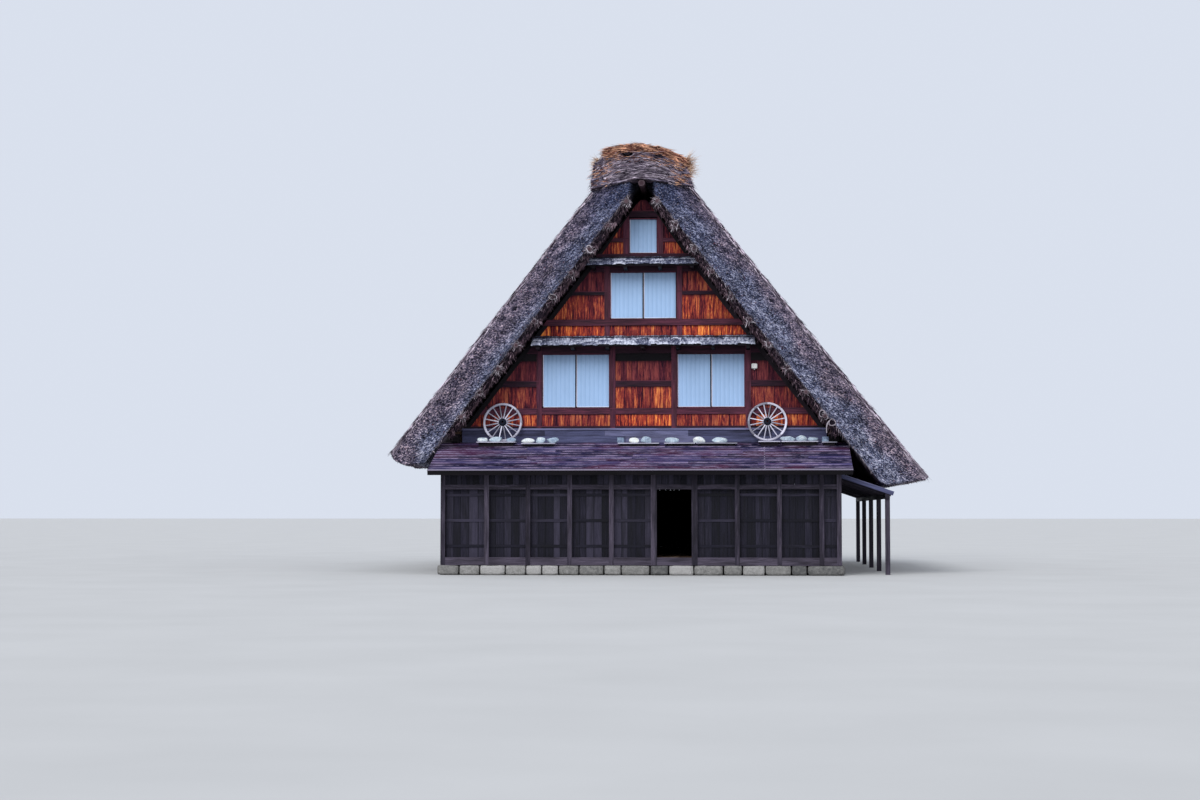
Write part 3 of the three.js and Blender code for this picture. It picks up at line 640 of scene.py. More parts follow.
def plank_look():
    """Wet purple-brown roof planks with painted whitish reflections along the grain, and painted shadow and
    highlight at each lap.
    """
    look = Look("leanto_planks")
    fibre = look.fibre(26, 1.6, 5, 0.8)
    streaks = look.fibre(9, 0.8, 4, 0.75, 0.2)
    dark, middle, light = (0.006, 0.005, 0.02), (0.025, 0.022, 0.068), (0.082, 0.067, 0.17)
    colour = look.ramp(look.blend("tint", fibre, 0.6), (0.3, dark), (0.5, middle), (0.7, light))
    broad = look.cloud((0.6, 1.4, 1.4), 4, 0.65)
    colour = look.over(colour, (0.1, 0.024, 0.055), broad, (0.5, 0.0), (0.64, 0.6))
    colour = look.over(colour, (0.012, 0.01, 0.024), streaks, (0.32, 0.7), (0.44, 0.0))
    # painted reflections: whitish streaks along the grain
    colour = look.over(colour, (0.42, 0.38, 0.56), streaks, (0.6, 0.0), (0.68, 0.75))
    # painted shadow under each lap: each course darkens just below the one above
    colour = look.over(colour, (0.018, 0.01, 0.026), "edge", (0.06, 0.65), (0.36, 0.0))
    # painted highlight along the lower edge of each course, broken along its length
    broken = look.ramp(look.fibre(3, 1.1, 4, 0.8), (0.44, 0.0), (0.6, 0.85))
    lit = look.math("MULTIPLY", look.ramp("edge", (0.7, 0.0), (0.78, 1.0)), broken)
    colour = look.mix("zone", look.mix(lit, colour, (0.3, 0.235, 0.37)), (0.56, 0.5, 0.65))
    return look.done(colour, look.ramp(streaks, (0.35, 0.35), (0.7, 0.6)), look.bump(fibre, 0.004))


CEDAR = cedar_look()
TIMBER = wood("dark_timber", (0.008, 0.003, 0.009), (0.04, 0.01, 0.023), (0.13, 0.032, 0.055),
              top_light=(0.1, 0.065, 0.1), even=0.78)
# Near-black wood that is painted shade: it stands in for the shadow in slots, under eaves and roofs, and behind
# frames
SHADE_WOOD = wood("shade_dark_timber", (0.002, 0.0015, 0.003), (0.006, 0.004, 0.007), (0.016, 0.01, 0.015))
# painted shade: the ground storey's timber and boards are darkened and blued as in the shade under the lean-to
# roofs
GROUND_TIMBER = wood("ground_timber", (0.006, 0.005, 0.009), (0.022, 0.018, 0.03), (0.08, 0.066, 0.095),
                     even=0.75)
SHUTTER = wood("shutter_boards", (0.003, 0.003, 0.007), (0.01, 0.009, 0.018), (0.034, 0.03, 0.05))
FLOOR = wood("floor_boards", (0.05, 0.03, 0.02), (0.12, 0.075, 0.05), (0.22, 0.15, 0.1))
SILL = wood("sill_planks", (0.03, 0.03, 0.065), (0.07, 0.075, 0.15), (0.16, 0.16, 0.28),
            top_light=(0.22, 0.22, 0.34))
GREY = wood("grey_wood", (0.15, 0.145, 0.18), (0.44, 0.43, 0.52), (0.8, 0.78, 0.9), stain=0.3)
PLANK = plank_look()
BARK = bark_look()
LOG = log_look()
SHEET = sheet_look()
THATCH = thatch_look("thatch", [(0.05, 0.04, 0.055), (0.24, 0.2, 0.25), (0.66, 0.58, 0.66)],
                     (0.15, 0.12, 0.145), 1.4, UNDER_CAP)
CAP = thatch_look("ridge_thatch", [(0.014, 0.01, 0.018), (0.13, 0.1, 0.14), (0.66, 0.56, 0.66)],
                  (0.13, 0.065, 0.07), 1.6, SHADED)
STRAW = straw_look("ridge_straw", (0.03, 0.01, 0.012), (0.26, 0.1, 0.075), (0.95, 0.53, 0.34))
DRY_STRAW = straw_look("dry_straw", (0.26, 0.13, 0.08), (0.55, 0.34, 0.22), (0.85, 0.66, 0.5))
REED = straw_look("loose_reed", (0.02, 0.016, 0.024), (0.13, 0.11, 0.14), (0.5, 0.44, 0.5))
CAP_STEM = straw_look("cap_reed", (0.016, 0.011, 0.02), (0.125, 0.095, 0.135), (0.7, 0.6, 0.7))
FRINGE = straw_look("verge_straw", (0.006, 0.004, 0.009), (0.055, 0.032, 0.047), (0.4, 0.28, 0.33))
ROPE = straw_look("straw_rope", (0.03, 0.022, 0.028), (0.15, 0.12, 0.14), (0.62, 0.56, 0.62))
IRON = stone_look("black_iron", [(0.3, (0.004, 0.006, 0.014)), (0.7, (0.022, 0.026, 0.05))], 20.0)
FOOTING = stone_look("footing_stone", [(0.3, (0.1, 0.1, 0.1)), (0.5, (0.24, 0.235, 0.225)),
                                       (0.7, (0.42, 0.41, 0.4))])
PEBBLE = stone_look("pale_stone", [(0.25, (0.07, 0.09, 0.16)), (0.4, (0.26, 0.34, 0.46)),
                                   (0.54, (0.5, 0.6, 0.68)), (0.68, (0.84, 0.88, 0.88)),
                                   (0.84, (0.95, 0.9, 0.72))], 9.0, 0.4)
CASE = stone_look("white_case", [(0.3, (0.5, 0.5, 0.49)), (0.7, (0.8, 0.8, 0.78))], 3.0)


# Thatch

def spaced(length, step, edge):
    """Places along a side, from 0 to 1, closer together near both ends."""
    rim = np.array([0, edge / 4, edge / 2, edge * 3 / 4])
    inner = np.linspace(edge, length - edge, max(2, round((length - 2 * edge) / step)))
    return np.concatenate([rim, inner, length - rim[::-1]]) / length


def trim(points, skin, t, on_end, radius):
    """Rounds the edge between the slope's skin and the cut faces of its ends."""
    y, deep = points[:, 1].copy(), (1 - t) * THATCH_DEPTH
    from_end = np.minimum(THATCH_END - np.abs(y), radius) / radius
    from_skin = np.minimum(deep, radius) / radius
    turn = np.where(on_end, 1 + from_skin, 1 - from_end) * math.pi / 4
    rounded = ((t == 1) & (from_end < 1)) | (on_end & (from_skin < 1))
    points[:, 1] = np.where(rounded, np.sign(y) * (THATCH_END - radius * (1 - np.sin(turn))), y)
    deeper = radius * (1 - np.cos(turn)) - np.where(on_end, deep, 0)
    points -= skin * np.where(rounded, deeper, 0)[:, None]


def thatch_body(side):
    """One slope of the thatch as a closed block: points, faces, grain, tint, zone, normals and edge."""
    foot, joint = FEET[side], CAP_JOINT[side]
    inner_top = (run_at(CAP_UNDER[1][1]), CAP_UNDER[1][1])
    slope = math.dist(joint, foot[-1])
    layers = np.concatenate([np.linspace(0, 0.84, 18), np.linspace(0.87, 1, 6)])
    ends = spaced(2 * THATCH_END, 0.13, ROUND[side])
    params, quads = box_grid(np.linspace(0, 1, round(slope / 0.055)), layers, ends)
    s, t, c = params.T
    x, z = coons(s, t, [inner_top, foot[0]], [joint, foot[-1]], [inner_top, joint], foot).T
    y, deep = (2 * c - 1) * THATCH_END, (1 - t) * THATCH_DEPTH
    on_end = (c == 0) | (c == 1)
    points = columns(side * x, y, z)
    trim(points, unit(np.array([side * PITCH, 0, 1])), t, on_end, ROUND[side])

    # Next to the ridge beam the reed stays back and leaves a smoke hole
    clear = np.clip((np.abs(points[:, 0]) - HOLE_NEAR) / (HOLE_FAR - HOLE_NEAR), 0, 1)
    points[:, 1] *= 1 - (1 - clear) * HOLE_DEPTH / THATCH_END

    quads = outward(points, quads)
    facing = normals(points, quads)
    cut_face = on_end | (s == 1)
    lumps = 0.024 * noise(points, (1.6, 1.3, 1.6), 3 + side) + 0.018 * noise(points, 0.42, 11 + side)
    rough = np.where(cut_face, 0.022, 0.012) * noise(points, 0.13, 23 + side)
    rough += np.where(cut_face, 0.02, 0.005) * noise(points, 0.06, 31 + side)
    points += facing * (np.where((t == 0) | (s == 0), 0.3, 1.0) * (lumps + rough))[:, None]
    strip = np.clip((deep + 0.04 * noise(points, 0.16, 5) - 0.2 * ROUND[side]) / 0.05, 0, 1)
    cut = np.where(on_end, strip, s == 1)
    tone = np.clip(t + 0.25 * noise(points, 0.7, 41), 0, 1)
    # the last value marks the reed beside the smoke hole, painted near-black as shade
    return points, quads, columns(y, s * slope, deep), tone, cut, facing, 0.9 * (1 - clear)


def thatch(side):
    name = "thatch_left" if side < 0 else "thatch_right"
    rng, pile, loose, strands = begin(name, 3)
    points, quads, grain, tone, cut, facing, painted_shade = thatch_body(side)
    pile.add(points, quads, grain, tint=tone, zone=cut, edge=painted_shade)
    piece(name, pile, THATCH, [name], smooth=True)

    # Loose stems: stubs on the cut faces, long ones down the slope, and a shaggy inner edge
    down = unit(np.array([side, 0, -1.22]))
    corner = rng.random((40000, 4))
    corner /= corner.sum(axis=1, keepdims=True)
    face = quads[rng.integers(len(quads), size=len(corner))]
    places = np.einsum("ij,ijk->ik", corner, points[face])
    out, faced, deep = facing[face].mean(axis=1), cut[face].mean(axis=1), grain[face][:, :, 2].mean(axis=1)
    shaken = rng.normal(0, 1, places.shape)
    at = np.flatnonzero((faced > 0.8) & (np.abs(places[:, 0]) > HOLE_FAR))[:13000]
    stems(loose, places[at] - out[at] * 0.015, out[at] + 0.45 * shaken[at], (0.03, 0.075), (0.007, 0.014))
    at = np.flatnonzero((faced < 0.3) & (deep < 0.02))[:8000]
    heading = down + 0.12 * out[at] + 0.1 * shaken[at]
    stems(loose, places[at] - out[at] * 0.01, heading, (0.1, 0.3), (0.005, 0.011))
    number = 3000
    edge = along_line([CAP_JOINT[side], FEET[side][-1]], rng.uniform(0, 0.93, number))
    edge += rng.uniform(0.02, 0.1, (number, 1)) * (-PITCH, -1) / SLANT
    near_end = THATCH_END - ROUND[side] * rng.uniform(0.05, 0.6, number)
    roots = columns(side * edge[:, 0], rng.choice([-1, 1], number) * near_end, edge[:, 1])
    stems(strands, roots, down + rng.normal(0, 0.06, roots.shape), (0.15, 0.45), (0.009, 0.018))
    piece(f"{name}_strands", strands, CAP_STEM)
    number = 1500
    run = HOLE_FAR + rng.random(number) * (5.0 if side < 0 else 5.6)
    y = rng.choice([-1, 1], number) * (THATCH_END - np.abs(rng.normal(0, 0.05, number)))
    roots = columns(side * run, y, underside(run) + 0.02)
    heading = down + rng.normal(0, 0.35, roots.shape) + (-side * 0.25, 0, -0.3)
    stems(loose, roots, heading, (0.06, 0.2), (0.005, 0.01))
    piece(f"{name}_stems", loose, REED)


# Ridge

def dark_holes(points):
    """How deep a point of the cap's end lies in one of the hollows painted dark as shade, from 0 to 1."""
    depth = np.zeros(len(points))
    for x, z, width, height in HOLLOWS + GAPS:
        depth = np.maximum(depth, 1.6 - np.hypot((points[:, 0] - x) / width, (points[:, 2] - z) / height))
    return np.clip(depth / 0.6, 0, 1)


def beside_hollows(roots, heading, lengths):
    """Which stems stay clear of the hollows under the mat, or start well inside the ends of the cap."""
    clear = np.ones(len(roots), bool)
    for share in (0, 0.25, 0.5, 0.75, 1):
        at = roots + unit(heading) * lengths[:, None] * share
        for x, z, width, height in HOLLOWS:
            clear &= np.hypot((at[:, 0] - x) / width, (at[:, 2] - z) / height) > 1.2
    return clear | (np.abs(roots[:, 1]) < CAP_END - 0.3)


def on_cap(roots, heading, lengths):
    """Which stems also stay over the cap."""
    tips = roots + heading * lengths[:, None]
    return beside_hollows(roots, heading, lengths) & (np.abs(tips[:, 0]) < CAP_REACH)


def wisps(pile, here, ahead, lift, spread, shake, *looks):
    """Strands along the ends of the cap, from the places here towards those a little ahead."""
    rng, number = pile.rng, len(here)
    y = rng.choice([-1, 1], number) * (CAP_END + rng.uniform(0, spread, number))
    roots = columns(here[:, 0], y, here[:, 1] + lift)
    along = unit(columns(ahead[:, 0] - here[:, 0], 0, ahead[:, 1] - here[:, 1]))
    heading = along * rng.choice([-1, 1], number)[:, None] + rng.normal(0, shake, roots.shape)
    stems(pile, roots, heading, *looks)


def cap_stems(loose):
    """The ends of the bent stems, along both sides of the cap and out of its end faces."""
    rng, number = loose.rng, 7000
    side = rng.choice([-1, 1], number)
    up = rng.random(number)
    rim = np.where(side[:, None] < 0, along_line(CAP_LEFT, up), along_line(CAP_RIGHT, up))
    roots = columns(rim[:, 0] - side * 0.03, rng.uniform(-CAP_END, CAP_END, number), rim[:, 1])
    heading = columns(side, 0, 0.2 * up - 0.75) + rng.normal(0, 0.28, roots.shape)
    stems(loose, roots, heading, (0.06, 0.2), (0.005, 0.011))
    number = 5000
    s, t = rng.random(number), rng.uniform(0.02, 0.98, number)
    section = coons(s, t, *CAP_OUTLINE)
    end = rng.choice([-1, 1], number)
    roots = columns(section[:, 0], end * (CAP_END + 0.01), section[:, 1])
    bend = (s - 0.5) * 1.6
    heading = columns(np.cos(bend), 0, -np.sin(bend)) * rng.choice([-1, 1], number)[:, None]
    heading += rng.normal(0, 0.12, roots.shape) + columns(0, end * 0.12, 0)
    stems(loose, roots, heading, (0.1, 0.32), (0.006, 0.012), beside_hollows)
    number = 1500  # thicker strands that follow the layers
    s, t = rng.uniform(0.02, 0.96, number), rng.uniform(0.03, 0.95, number)
    here, ahead = (coons(s + step, t, *CAP_OUTLINE) for step in (0, 0.02))
    wisps(loose, here, ahead, 0, 0.03, 0.05, (0.3, 0.8), (0.008, 0.017), on_cap)


def ridge_cap():
    _, pile, loose = begin("ridge_cap", 2)
    ends = spaced(2 * CAP_END, 0.14, 0.08)
    params, quads = box_grid(np.linspace(0, 1, 110), np.linspace(0, 1, LAYERS * 6 + 1), ends)
    s, t, c = params.T
    x, z = coons(s, t, *CAP_OUTLINE).T
    y = (2 * c - 1) * CAP_END
    points = columns(x, y, z)
    facing = normals(points, quads)
    layer = np.floor(t * LAYERS * 0.999)
    reach = 0.5 + 0.5 * noise(columns(s * 1.2, layer * 7.3, np.sign(y)), 1.0, 5)
    step = 0.05 * reach + 0.035 * np.sin(math.pi * (t * LAYERS - layer))
    step += 0.02 * noise(points, (0.4, 0.4, 0.05), 8)
    lumps = 0.02 * noise(points, 0.5, 2) + 0.012 * noise(points, 0.14, 6)
    at_end = (c == 0) | (c == 1)
    at_side = at_end | (s == 0) | (s == 1)
    under_mat = np.where((t > 0.955) & (x > 0.5), 0.7, 0)
    hollow = np.where(at_end, np.maximum(under_mat, dark_holes(points)), 0)
    curls = 0.05 * np.abs(np.sin(9 * s * math.pi + 2.5 * layer)) * (np.abs(x) > 1.0) * at_end
    push = np.where(at_side, step - 0.03 + curls, 0) + np.where(t == 0, 0, lumps) - 0.16 * hollow
    points += facing * push[:, None]
    grain = np.where(at_end[:, None], columns(t, s * 2.7, y), columns(y, s * 2.7, t))
    # painted shade: edge paints the hollows, the ends under the mat and the foot of each end near-black
    edge = np.maximum(hollow, np.where(at_end & (t < 0.03), 0.75, 0))
    pile.add(points, quads, grain, tint=np.clip(reach, 0, 1), edge=edge)
    piece("ridge_cap", pile, CAP, ["ridge_cap"], smooth=True)
    cap_stems(loose)
    piece("ridge_cap_stems", loose, CAP_STEM)


def mat_straws(loose):
    """Straw that sticks out of the mat and slips down over the ends of the cap."""
    rng, number = loose.rng, 2600
    s = rng.random(number)
    x, z = along_line(MAT_LINE, s).T
    drop = rng.exponential(0.06, number)
    clear = (np.abs(x - 0.05) > 0.75) | (drop > 0.1) | (drop < 0.015)
    roots = columns(x, rng.choice([-1, 1], number) * (CAP_END + 0.03), z - drop)[clear]
    heading = columns(rng.choice([-1, 1], number), rng.normal(0, 0.1, number), -0.5 * (s - 0.4))[clear]
    heading[:, 2] *= np.sign(heading[:, 0])
    heading += rng.normal(0, 0.16, roots.shape)
    stems(loose, roots, heading, (0.08, 0.24), (0.005, 0.011), beside_hollows)
    number, at_ends = 9000, 3200
    s = rng.random(number)
    x, z = along_line(MAT_LINE, s).T
    y = rng.uniform(-CAP_END, CAP_END, number)
    y[:at_ends] = rng.choice([-1, 1], at_ends) * (CAP_END + rng.uniform(0, 0.035, at_ends))
    high = np.where(np.arange(number) < at_ends, rng.uniform(0.1, 1, number), 0.97) * MAT_THICKNESS
    roots = columns(x, y, z + high)
    heading = columns(np.sign(s - 0.5), 0, -(s - 0.4) * np.sign(s - 0.5) * 1.1)
    heading += rng.normal(0, 0.22, roots.shape) + (0, 0, 0.08)
    stems(loose, roots, heading, (0.08, 0.26), (0.006, 0.012), beside_hollows)
    number = 700  # wisps along the ends of the mat
    s = rng.uniform(0.02, 0.96, number)
    here, ahead = along_line(MAT_LINE, s), along_line(MAT_LINE, s + 0.03)
    lift = rng.uniform(0.03, 0.95, number) * MAT_THICKNESS
    wisps(loose, here, ahead, lift, 0.04, 0.1, (0.15, 0.4), (0.009, 0.016), beside_hollows)
    number = 420  # brown wisps at both sides of the cap's ends
    side, end = rng.choice([-1, 1], number), rng.choice([-1, 1], number)
    x, y = side * rng.uniform(0.85, 1.25, number), end * (CAP_END + rng.uniform(0.02, 0.05, number))
    roots = columns(x, y, rng.uniform(10.12, 10.62, number))
    heading = columns(side * rng.choice([-1, 1], number), 0, -side * rng.uniform(0.1, 0.6, number))
    heading[:, 2] *= np.sign(heading[:, 0])
    heading += rng.normal(0, 0.15, roots.shape)
    stems(loose, roots, heading, (0.1, 0.28), (0.006, 0.013))


def dry_tuft(tuft, number, x, height, lean, lengths):
    """Dry straw that sticks out at one corner of the ridge. lean is the mean and spread of its rise."""
    rng, side = tuft.rng, math.copysign(1, x)
    across, back = rng.normal(x, 0.04, number), -CAP_END + rng.exponential(0.1, number)
    roots = columns(across, back, rng.uniform(*height, number))
    out, ahead = side * rng.uniform(0.4, 1.2, number), rng.normal(-0.2, 0.3, number)
    heading = columns(out, ahead, rng.normal(*lean, number))
    stems(tuft, roots, heading, lengths, (0.004, 0.007))


def ridge_mat():
    rng, pile, loose, ropes, tuft = begin("ridge_mat", 4)
    params, quads = box_grid(np.linspace(0, 1, 60), np.linspace(0, 1, 7), spaced(2 * CAP_END, 0.1, 0.08))
    s, t, c = params.T
    x, z = along_line(MAT_LINE, s).T
    y = (2 * c - 1) * CAP_END
    points = columns(x, y, z + t * MAT_THICKNESS)
    bundle = 0.03 * np.abs(np.sin(math.pi * y / 0.45)) ** 0.5 - 0.02
    shaggy = 0.03 * noise(points, (0.3, 0.12, 0.2), 4) + 0.018 * noise(points, 0.07, 9)
    push = np.where(t == 0, 0, shaggy + np.where(t == 1, bundle, 0))
    points += normals(points, quads) * push[:, None]
    tone = np.clip(0.5 + 0.3 * noise(points, (0.8, 0.25, 0.5), 14), 0, 1)
    pile.add(points, quads, columns(y, s * 2.2, t * 0.15), tint=tone)
    piece("ridge_mat", pile, STRAW, ["ridge_mat"], smooth=True)
    mat_straws(loose)
    piece("ridge_mat_straws", loose, STRAW)

    # Straw ropes hold the mat down, and a dry tuft shows at each side
    x, z = along_line(MAT_LINE, np.linspace(0, 1, 18)).T
    for y in np.arange(-6.3, 6.4, 0.9):
        path = columns(x, y + rng.normal(0, 0.012, 18), z + MAT_THICKNESS + 0.035)
        sweep(ropes, path, circle(0.017, 6), ALONG_Y)
    piece("ridge_ropes", ropes, ROPE)
    dry_tuft(tuft, 340, 1.15, (10.38, 10.82), (0.15, 0.5), (0.12, 0.46))
    dry_tuft(tuft, 160, -1.13, (10.56, 10.84), (0.1, 0.4), (0.08, 0.28))
    piece("dry_tuft", tuft, DRY_STRAW)


# Roof timbers

def purlin_end(ropes, x, z, end, side):
    """Turns of rope around the end of a purlin, a hanging end, and frayed straw."""
    rng = ropes.rng
    for turn in range(int(rng.integers(1, 4))):
        angle = rng.uniform(0, 6) + np.linspace(0, rng.choice([0.9, 1.5, 1.95]) * math.pi, 14)
        around = 0.07 + 0.008 * turn + 0.02 * np.sin(2 * angle + rng.uniform(0, 6))
        y = end * (6.77 + 0.026 * turn) + 0.02 * np.sin(3 * angle)
        sweep(ropes, ring(angle, around) + columns(x, y, z), circle(rng.uniform(0.008, 0.013), 5), ALONG_Y)
    hang = np.linspace(0, 1, 6)
    fall = z - 0.03 - rng.uniform(0.08, 0.17) * hang
    path = columns(x - side * (0.06 + 0.05 * hang), end * (6.79 + 0.02 * hang), fall)
    sweep(ropes, path, circle(0.01, 5), ALONG_Y)
    number = int(rng.integers(10, 60))
    around = ring(rng.uniform(0, TURN, number))
    roots = (x, end * THATCH_END, z) + around * 0.07 + rng.normal(0, 0.02, around.shape)
    heading = around + rng.normal(0, 0.7, around.shape) + (0, end * 0.4, -0.4)
    stems(ropes, roots, heading, (0.05, 0.17), (0.006, 0.012))


def off_purlin(z):
    """0 at the height of each purlin and 1 midway between two."""
    return np.abs(np.sin(math.pi * (z - PURLINS[0]) / PURLIN_STEP))


def verge(fringe, side, end):
    """A rough roll of straw along the thatch's inner edge, bound at each purlin."""
    rng = fringe.rng
    run = np.linspace(HOLE_FAR, run_at(VERGE_FOOT), 150)
    roll = columns(side * run, end * 6.67, underside(run, 0.075))
    roll += 0.022 * columns(*(noise(roll, 0.22, 61 + axis + side) for axis in range(3)))
    scale = 0.7 + 0.3 * off_purlin(underside(run)) ** 0.5 + 0.42 * noise(roll, 0.11, 71 + side)
    sweep(fringe, roll, circle(0.084, 12), ALONG_Y, scale, tint=0.12)
    number = 4200
    at, angle = rng.uniform(0, 1, number), rng.uniform(0, TURN, number)
    across = columns(side * 0.79 * np.cos(angle), np.sin(angle), 0.61 * np.cos(angle))
    roots = along_line(roll, at) + across * 0.075
    heading = 0.6 * across * (1, 0.6, 1) + (side * 0.45, end * 0.2, -0.7) + rng.normal(0, 0.4, roots.shape)
    lengths, radii = rng.uniform(0.05, 0.2, number), rng.uniform(0.006, 0.017, number)
    tied = off_purlin(roots[:, 2]) < 0.35
    straws(fringe, roots, heading, lengths, radii, np.clip(rng.random(number) * 0.7 + 0.35 * tied, 0, 1))


def bound_end(ropes, fringe, x, z, end):
    """A purlin's hollow end, with a plug of the darkest straw as painted shade, and a thick ring of pale straw
    around it.
    """
    angle = np.linspace(0, 1.97 * math.pi, 26)
    around = RING_RADIUS * (1 + 0.08 * np.sin(3 * angle + ropes.rng.uniform(0, 6)))
    path = ring(angle, around) + (x, end * 6.81, z)
    sweep(ropes, path, circle(0.015, 7), ALONG_Y, 1 + 0.4 * noise(path, 0.05, 5), tint=0.62)
    inner, outer = end * (THATCH_END - 0.1), end * THATCH_END
    # painted shade: a plug of the darkest straw fills the hollow
    sweep(fringe, [(x, inner, z), (x, outer, z)], circle(RING_RADIUS - 0.01, 14), tint=0.0)


def pole(pile, side, y, inset, foot, radius, top=0.33, **shape):
    """A rafter or thin pole that runs down under the thatch, from the distance top to the distance foot."""
    start, end = ((side * run, y, underside(run, inset)) for run in (top, foot))
    log(pile, start, end, radius, **shape)


def roof_frame(side, name):
    rng, pile, ropes, fringe = begin(name, 3)
    inward = np.array([-side * PITCH, -1]) / SLANT
    for height in PURLINS:
        x, z = (side * run_at(height), height) + inward * 0.065
        back, front = (THATCH_END + rng.uniform(-0.05, 0.07) for _ in range(2))
        log(pile, (x, -back, z), (x, front, z), 0.064, rings=24)
        for end in (-1, 1):
            purlin_end(ropes, x, z, end, side)
    foot = run_at(VERGE_FOOT, 0.15)
    for end in (-1, 1):
        pole(pile, side, end * VERGE_Y, 0.15, foot, 0.05, rings=26)
        for stick in range(3):  # thin poles lie against the underside near the verge
            y = end * (VERGE_Y - 0.07 - 0.08 * stick)
            pole(pile, side, y, 0.02, foot + 0.2, 0.02, rings=20, sides=5, wander=0.02)
        verge(fringe, side, end)
        for x, z in BOUND_ENDS if side > 0 else []:
            bound_end(ropes, fringe, x, z, end)
    for index in range(-3, 4):
        pole(pile, side, 1.4 * index, 0.19, run_at(VERGE_FOOT, 0.19), 0.09, top=0.02)
    piece(name, pile, LOG, [name], smooth=True)
    piece(f"{name}_ropes", ropes, ROPE)
    piece(f"{name}_fringe", fringe, FRINGE)


def ridge_beam():
    """The ridge beam, and the loose end of a lashing at the foot of the front verge."""
    _, pile, rope = begin("ridge_beam", 2)
    log(pile, (0, -6.84, BEAM_Z), (0, 6.84, BEAM_Z), 0.09, rings=30, sides=14, wander=0.004, ends=0.4)
    piece("ridge_beam", pile, LOG, ["ridge_beam"], smooth=True)
    x, z = along_line(LOOSE_END, np.linspace(0, 1, 14)).T
    sweep(rope, columns(x, -6.83, z), circle(0.014, 6), ALONG_Y, tint=0.75)
    piece("lashing_end", rope, ROPE)


# Walls, all drawn as the front one, with the outside towards -Y

def cut_tops(z, *places):
    """Heights at the given places of what would end at z without the roof's slope."""
    return [min(z, underside(abs(x), WALL_INSET)) for x in places]


def boards(pile, x_span, z_span, face, width=0.15, zone=0.0, cut=False, thickness=0.034):
    """Upright boards side by side, cut to the roof's slope if asked."""
    rng = pile.rng
    number = max(1, round((x_span[1] - x_span[0]) / width))
    edges = np.linspace(*x_span, number + 1)
    edges[1:-1] += rng.uniform(-0.025, 0.025, number - 1)
    reach = run_at(z_span[0] + 0.012, WALL_INSET) if cut else math.inf
    for left, right in zip(edges, edges[1:]):
        left, right = max(left, -reach), min(right, reach)
        if right - left < 0.01:
            continue
        tops = cut_tops(z_span[1], left, right) if cut else None
        front = face + rng.uniform(-0.004, 0.005)
        corners = box_corners((left + GAP, right - GAP), (front, front + thickness), z_span, tops)
        board(pile, corners, np.clip(zone + rng.normal(0, 0.07), 0, 1))


def rail(pile, x_span, z_span, face, depth, cut=False, tint=None):
    """A level timber, with its ends cut to the roof's slope if asked."""
    corners = box_corners(x_span, (face, face + depth), z_span)
    if cut:
        reach = run_at(corners[:, 2], WALL_INSET)
        corners[:, 0] = np.clip(corners[:, 0], -reach, reach)
    hexa(pile, corners, 0, tint)


def post(pile, x, z_span, face, depth, width=WALL, cut=False, tint=None):
    span = (x - width / 2, x + width / 2)
    tops = cut_tops(z_span[1], *span) if cut else None
    hexa(pile, box_corners(span, (face, face + depth), z_span, tops), 2, tint)


def brightness(z, x, storey):
    """How bright a band of boards is painted: most at its foot and near the middle of the wall, with painted
    shade higher up under the eaves.
    """
    low, middle, high = VIVID[storey]
    rails = RAILS[storey]
    base = low if z < rails[1][0] else middle if z < rails[2][0] else high
    below = any(span[0] < x < span[1] and z < height[0] for span, height in holes(storey))
    under_window = z < rails[1][0] and below
    # darker under a window and beyond 2.7 m out; a painted lift of light on the right of the third storey
    return base - 0.62 * under_window - 0.3 * (abs(x) > 2.7) + 0.18 * (storey == "third" and x > 1)


def holes(storey):
    """The windows of a storey: their spans across and up."""
    return [(x, z) for level, x, z, _ in WINDOWS.values() if level == storey]


def wall_runs(left, right, low, high, storey):
    """The stretches of a rail that no window interrupts."""
    runs = [(left, right)]
    for x, z in holes(storey):
        if z[0] < (low + high) / 2 < z[1]:
            parts = [part for a, b in runs for part in ((a, min(b, x[0])), (max(a, x[1]), b))]
            runs = [(a, b) for a, b in parts if b - a > 0.02]
    return runs


def gable_boards(skin, painted_shade, storey, face):
    """The boards between the posts and rails of a storey, left out where the windows are."""
    z0, z1 = STOREYS[storey]
    half = run_at(z0, WALL_INSET) + POST / 2
    stops = [-half, *POSTS[storey], half]
    levels = [*RAILS[storey], (z1, z1)]
    for left, right in zip(stops, stops[1:]):
        span = (left + POST / 2, right - POST / 2)
        for low, high in zip(levels, levels[1:]):
            z_span = (low[1], high[0])
            x, z = sum(span) / 2, sum(z_span) / 2
            in_window = any(a[0] < x < a[1] and b[0] < z < b[1] for a, b in holes(storey))
            if z_span[1] - z_span[0] < 0.02 or in_window:
                continue
            # painted shadow: a recessed strip of near-black wood under the top rail, in the shade of the eave
            if storey == "second" and z_span[1] > 5.7:  # a dark gap under the top rail
                reach = run_at(z_span[1], WALL_INSET)
                dark = (z_span[1] - 0.2, z_span[1])
                slab(painted_shade, (max(span[0], -reach), min(span[1], reach)), (face + 0.06, face + 0.08), dark, 0)
                z_span = (z_span[0], dark[0])
            boards(skin, span, z_span, face + BOARD_RECESS, zone=brightness(z, x, storey), cut=True)


